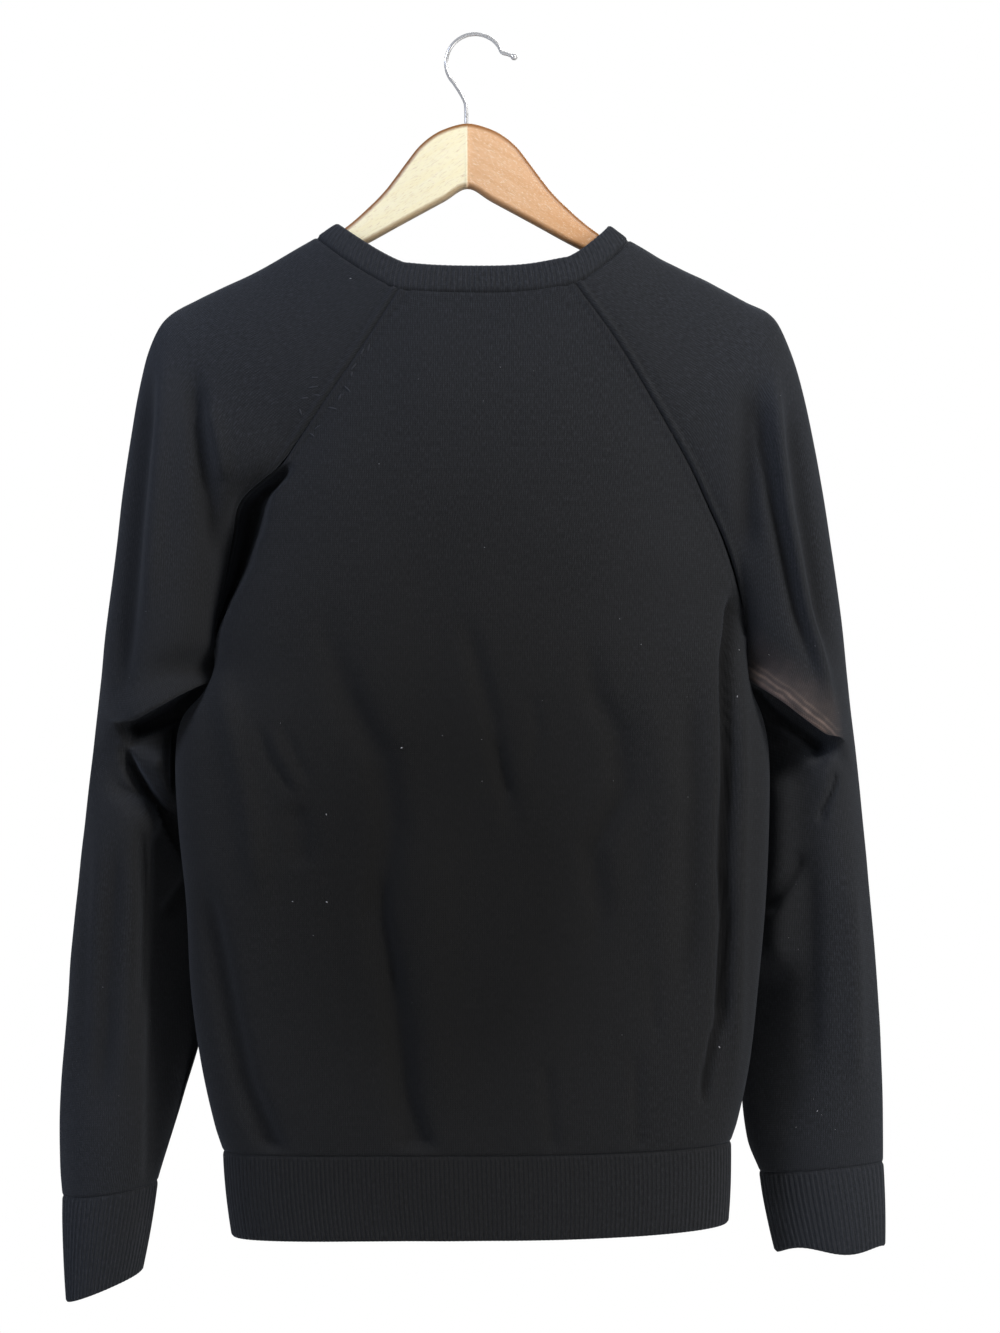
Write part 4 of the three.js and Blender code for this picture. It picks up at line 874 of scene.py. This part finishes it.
def woodMaterial(name):
    # Lacquered beech: fine straight grain along each arm, short darker flecks, a thin satin lacquer.
    material, tree, shader = newMaterial(name)
    add, look = partial(addNode, tree), woodLook
    place = add("TexCoord")
    parts = add("SeparateXYZ", {0: (place, "Object")})
    centre = hangerCut["centreX"] * mm
    arm = add("Math", {0: parts, 1: centre}, operation="GREATER_THAN")  # the two arms differ
    side = add("Math", {0: parts, 1: -centre}, operation="ADD")
    reach = add("Math", {0: side}, operation="ABSOLUTE")
    across = add("Math", {0: reach, 1: 0.6, 2: (parts, 2)}, operation="MULTIPLY_ADD")
    grainPlace = add("CombineXYZ", {0: reach, 1: (parts, 1), 2: across})
    stretched = add("Mapping", {"Vector": grainPlace, "Scale": (9.0, 120.0, 260.0)})
    grain = add("TexNoise", {"Vector": stretched, "Scale": 1.0, "Detail": 4.0, "Roughness": 0.6})
    fleckPlace = add("Mapping", {"Vector": grainPlace, "Scale": (230.0, 900.0, 2300.0)})
    fleck = add("TexNoise", {"Vector": fleckPlace, "Scale": 1.0, "Detail": 1.0})
    flecks = add("MapRange", {"Value": fleck, "From Min": 0.60, "From Max": 0.72, "To Max": 0.5})
    pale, tan = (add("Mix", {0: grain, 6: linear(look[key][0]), 7: linear(look[key][1])}, data_type="RGBA")
                 for key in ("pale", "tan"))
    towardsEnd = add("MapRange", {"Value": reach, "From Min": 0.035, "From Max": 0.1, "To Max": 0.75})
    darker = add("Mix", {0: towardsEnd, 6: (tan, 2), 7: linear(look["tanEnd"])}, data_type="RGBA")
    wood = add("Mix", {0: arm, 6: (pale, 2), 7: (darker, 2)}, data_type="RGBA")
    flecked = add("Mix", {0: flecks, 6: (wood, 2), 7: linear(look["fleck"])}, data_type="RGBA")
    speckPlace = add("Mapping", {"Vector": grainPlace, "Scale": (520.0, 900.0, 1500.0),
                                 "Location": (3.1, 0.0, 1.7)})
    speck = add("TexNoise", {"Vector": speckPlace, "Scale": 1.0, "Detail": 2.0})
    specks = add("MapRange", {"Value": speck, "From Min": 0.55, "From Max": 0.7, "To Max": 0.5})
    specked = add("Mix", {0: specks, 6: (flecked, 2), 7: linear(look["speck"])}, data_type="RGBA")
    edge = add("Attribute", attribute_name="edgeShade")
    edged = add("Mix", {0: (edge, "Fac"), 6: (specked, 2), 7: linear(look["edge"])}, data_type="RGBA")
    bump = add("Bump", {"Height": grain, "Strength": 0.15, "Distance": 0.0003})
    tree.links.new(edged.outputs[2], shader.inputs["Base Color"])
    tree.links.new(bump.outputs[0], shader.inputs["Normal"])
    setSockets(shader, roughness=0.5, coat=0.1, coatRoughness=0.35)
    return material


def makeHanger():
    cut = hangerCut
    ring = [notch] + hangerOutline + [crown] + [(-x, z) for x, z in reversed(hangerOutline)]
    outline = smoothPath(ring, 8, closed=True)
    bm = bmesh.new()
    corners = [bm.verts.new((x * mm, -cut["thickness"] / 2 * mm, z * mm)) for x, z in outline]
    face = bm.faces.new(corners)
    made = bmesh.ops.extrude_face_region(bm, geom=[face])
    moved = [v for v in made["geom"] if isinstance(v, bmesh.types.BMVert)]
    bmesh.ops.translate(bm, verts=moved, vec=(0, cut["thickness"] * mm, 0))
    rims = [e for e in bm.edges if abs(e.verts[0].co.y - e.verts[1].co.y) < 1e-9]
    bmesh.ops.bevel(bm, geom=rims, offset=cut["edge"] * mm, segments=5, profile=0.5, affect="EDGES",
                    material=-1)
    for x in [k * 7 for k in range(-31, 32)] + [-2.4, -1.2, 1.2, 2.4]:  # cuts across, so the arms can bend
        whole = bm.verts[:] + bm.edges[:] + bm.faces[:]
        bmesh.ops.bisect_plane(bm, geom=whole, plane_co=(x * mm, 0, 0), plane_no=(1, 0, 0))
    shade = bm.verts.layers.float.new("edgeShade")
    lowLine, topLine = (np.array(sorted(line)).T for line in (hangerOutline[:7], hangerOutline[7:]))
    for v in bm.verts:
        x, half = v.co.x / mm, cut["thickness"] / 2
        onTop = v.co.z / mm > (np.interp(abs(x), *lowLine) + np.interp(abs(x), *topLine)) / 2
        v[shade] = float(smoothStep(abs(v.co.y / mm), half - 0.01, half - 0.3)) * (1.0 if onTop else 0.6)
        if v.co.y < -half * 0.99 * mm:
            v.co.y -= cut["ridge"] * mm * math.exp(-(x / 1.3)**2)
        v.co.y += cut["sweep"] * mm * (abs(x) / cut["halfWidth"])**cut["bend"]
        v.co.x += cut["centreX"] * mm
    bmesh.ops.recalc_face_normals(bm, faces=bm.faces)
    mesh = meshFrom(bm, "hanger_shaped")
    return linkPiece("hanger_shaped", mesh, woodMaterial("beech_lacquered"), "hanger")


makeHanger()
print("the hanger is made")


hookCut = dict(wire=2.9, radius=21.1, open=22, end=225, knob=2.5, knobPlace=(28.2, -15), stemFoot=-64.1)


def makeHook():
    cut = hookCut
    centreZ = cut["wire"] / 2 - cut["radius"]
    turns = np.radians(np.linspace(cut["open"], cut["end"], 15))
    path = [(27.5, -14.6), (23.9, -13.2)]
    path += [(cut["radius"] * math.cos(a), centreZ + cut["radius"] * math.sin(a)) for a in turns]
    path += [(-10.4, -41.6), (-7.2, -48), (-6.5, -54), (-6.5, cut["stemFoot"])]
    route = smoothPath(path, 8)
    curve = bpy.data.curves.new("hookPath", "CURVE")
    curve.dimensions = "3D"
    curve.bevel_depth, curve.bevel_resolution, curve.use_fill_caps = cut["wire"] / 2 * mm, 6, True
    spline = curve.splines.new("POLY")
    spline.points.add(len(route) - 1)
    spline.points.foreach_set("co", np.column_stack([route[:, 0] * mm, 0 * route[:, 0], route[:, 1] * mm,
                                                     np.ones(len(route))]).ravel())
    holder = linkObject("hookPath", curve)
    shape = bpy.data.meshes.new_from_object(holder.evaluated_get(bpy.context.evaluated_depsgraph_get()))
    bpy.data.objects.remove(holder)
    bm = bmesh.new()
    bm.from_mesh(shape)
    knobX, knobZ = cut["knobPlace"]
    bmesh.ops.create_uvsphere(bm, u_segments=24, v_segments=16, radius=cut["knob"] * mm,
                              matrix=Matrix.Translation((knobX * mm, 0, knobZ * mm)))
    mesh = meshFrom(bm, "hook_wire")
    material, tree, shader = newMaterial("chromed_steel_wire")  # bright plate, its shine a little hazy in places
    place = addNode(tree, "TexCoord")
    haze = addNode(tree, "TexNoise", {"Vector": (place, "Object"), "Scale": 220.0, "Detail": 3.0})
    rough = addNode(tree, "MapRange", {"Value": haze, "To Min": 0.16, "To Max": 0.34})
    tree.links.new(rough.outputs[0], shader.inputs["Roughness"])
    setSockets(shader, colour=linear("#eceef1"), metallic=0.7)
    return linkPiece("hook_wire", mesh, material, "hook")


makeHook()
print("the hook is made")


# Small things on the wool: lint, and the yarn of a small darn.
def addSpeck(bm, subdivisions, spot, turn, size):  # a small rounded bit, size is its three half widths
    matrix = Matrix.Translation(spot) @ turn @ Matrix.Diagonal((*(k * mm for k in size), 1))
    bmesh.ops.create_icosphere(bm, subdivisions=subdivisions, radius=1.0, matrix=matrix)


def woolSurface(piece, x, z):  # the nearest back-facing spot of a piece to a place seen from behind
    mesh = piece.data
    places, ways = np.empty(len(mesh.vertices) * 3), np.empty(len(mesh.vertices) * 3)
    mesh.vertices.foreach_get("co", places)
    mesh.vertex_normals.foreach_get("vector", ways)
    places, ways = places.reshape(-1, 3), ways.reshape(-1, 3)
    gap = np.hypot(places[:, 0] - x * mm, places[:, 2] - z * mm)
    k = int(np.argmin(gap + (ways[:, 1] > -0.2) * 9 + places[:, 1] * 0.05))
    return Vector(places[k]), Vector(ways[k])


def fluffMaterial(name, hexColour, mottleColour):
    material, tree, shader = newMaterial(name)  # loose fibres, matt and soft-edged
    place = addNode(tree, "TexCoord")
    mottle = addNode(tree, "TexNoise", {"Vector": (place, "Object"), "Scale": 1600.0, "Detail": 2.0})
    shades = {6: linear(hexColour), 7: linear(mottleColour)}
    tint = addNode(tree, "Mix", {0: mottle, **shades}, data_type="RGBA")
    tree.links.new(tint.outputs[2], shader.inputs["Base Color"])
    setSockets(shader, roughness=0.95, specular=0.2)
    return material


lintPlaces = [  # piece, place, size
    ("back", -108, -628, 1.0), ("back", -131, -625, 0.8), ("back", -51, -515, 1.1),
    ("back", -108, -564, 0.9), ("back", 190, -479, 1.0), ("back", 192, -444, 0.8),
    ("back", 179, -734, 1.1), ("right", 253, -785, 0.8), ("left", -90, -176, 0.8), ("back", -71, -196, 0.7),
]
smallLint = dict(count=46, sizes=(0.25, 0.5), heights=(-800, -240), back=(-170, 170), left=(-275, -215),
                 right=(215, 270), farOff=0.006, colours=("#b9bac0", "#6f7178"))


def makeLint():
    rng = np.random.default_rng(7)
    bm = bmesh.new()
    places = list(lintPlaces)
    for _ in range(smallLint["count"]):
        key = ("back", "back", "back", "left", "right")[rng.integers(5)]
        places.append((key, *(rng.uniform(*smallLint[field]) for field in (key, "heights", "sizes"))))
    for key, x, z, size in places:
        spot, way = woolSurface(panels[key], x, z)
        if (spot.xz - Vector((x * mm, z * mm))).length > smallLint["farOff"]:
            continue
        turn = way.to_track_quat("Z", "Y").to_matrix().to_4x4()
        turn = turn @ Matrix.Rotation(rng.uniform(0, math.pi), 4, "Z")
        addSpeck(bm, 1, spot, turn, (0.9 * size, 0.45 * size, 0.35 * size))
    mesh, fibre = meshFrom(bm, "lint"), fluffMaterial("lint_fibre", *smallLint["colours"])
    return linkPiece("lint", mesh, fibre)


makeLint()
print("lint is made")

darnStitches = [  # piece, place, length, tilt in degrees
    ("back", -76, -228, 5.5, 80), ("back", -81, -231, 4.5, 60), ("back", -87, -240, 6.0, 50),
    ("back", -88, -247, 4.0, 80), ("left", -114, -248, 5.0, 0), ("left", -118, -254, 7.5, 8),
    ("back", -92, -256, 7.0, -45), ("left", -123, -261, 5.0, 5), ("left", -114, -261, 5.5, -8),
    ("back", -98, -263, 5.0, 60), ("back", -103, -270, 7.5, -15), ("left", -127, -271, 5.0, -70),
    ("back", -114, -284, 5.0, 30), ("back", -117, -290, 5.0, -35),
]
darnYarn = dict(halfWidth=0.62, halfHeight=0.5, colours=("#24262b", "#3e4147"))


def makeDarn():
    bm = bmesh.new()
    for key, x, z, length, tilt in darnStitches:
        spot, way = woolSurface(panels[key], x, z)
        along = Vector((math.cos(math.radians(tilt)), 0, math.sin(math.radians(tilt))))
        along = (along - way * along.dot(way)).normalized()
        turn = Matrix((along, way.cross(along), way)).transposed().to_4x4()
        addSpeck(bm, 3, spot, turn, (length / 2, darnYarn["halfWidth"], darnYarn["halfHeight"]))
    mesh, yarn = meshFrom(bm, "darn_stitches"), fluffMaterial("darning_yarn", *darnYarn["colours"])
    return linkPiece("darn_stitches", mesh, yarn)


makeDarn()
print("the darn is made")

# The room is a pale seamless bowl in soft light.
room = dict(floorZ=-1.08, radius=3.6, wall=3.2, camera=(0.018, -2.0, -0.457), lens=74.5, world=0.2)


def makeRoom():
    bm = bmesh.new()
    radius = room["radius"]
    profile = [(0.02, 0), (radius * 0.6, 0), (radius * 0.8, 0.06), (radius * 0.93, 0.35), (radius, 1.0),
               (radius, room["wall"])]
    corners = [bm.verts.new((x, 0, room["floorZ"] + z)) for x, z in profile]
    edges = [bm.edges.new(pair) for pair in zip(corners, corners[1:])]
    bmesh.ops.spin(bm, geom=corners + edges, axis=(0, 0, 1), cent=(0, 0, 0), steps=64, angle=2 * math.pi,
                   use_merge=True)
    bmesh.ops.holes_fill(bm, edges=[e for e in bm.edges if e.is_boundary and e.verts[0].co.xy.length < 0.1])
    mesh = meshFrom(bm, "studio_floor")
    mesh.shade_smooth()
    material, tree, shader = newMaterial("white_paper")
    setSockets(shader, colour=linear("#b9b9b8"), roughness=0.9)
    glow = addNode(tree, "Emission", {"Color": linear("#ffffff"), "Strength": 1.0})
    direct = addNode(tree, "LightPath")  # seen as white paper, but lights the room only dimly
    blend = addNode(tree, "MixShader", {0: (direct, "Is Camera Ray"), 1: shader, 2: glow})
    tree.links.new(blend.outputs[0], tree.nodes["Material Output"].inputs["Surface"])
    mesh.materials.append(material)
    linkObject("studio_floor", mesh)


def addLight(name, place, target, size, energy, tint):
    light = bpy.data.lights.new(name, "AREA")
    light.shape, light.size, light.energy, light.color = "DISK", size, energy, linear(tint)[:3]
    way = Vector(target) - Vector(place)
    turn = way.to_track_quat("-Z", "Y").to_matrix().to_4x4()
    linkObject(name, light).matrix_world = Matrix.Translation(place) @ turn


makeRoom()
addLight("key", (1.7, -1.3, 1.0), (0, 0, -0.3), 0.7, 51, "#fffaf4")
addLight("fill", (-1.8, -1.0, 0.9), (0, 0, -0.3), 0.8, 34, "#e2eaff")
addLight("low", (1.7, -1.5, -0.9), (0.2, 0, -0.7), 0.8, 11, "#fffaf4")
addLight("behind", (0.4, 2.0, 1.0), (0, 0, -0.4), 1.4, 30, "#ffffff")
world = bpy.data.worlds.new("studio")
world.use_nodes = True
world.node_tree.nodes["Background"].inputs[0].default_value = linear("#ffffff")
world.node_tree.nodes["Background"].inputs[1].default_value = room["world"]
bpy.context.scene.world = world
bpy.context.scene.view_settings.view_transform = "Standard"

camera = bpy.data.cameras.new("camera")
camera.lens, camera.sensor_width = room["lens"], 36
viewer = linkObject("camera", camera)
viewer.location = room["camera"]
viewer.rotation_euler = (math.pi / 2, 0, 0)
bpy.context.scene.camera = viewer
print("the room, lights and camera are set")
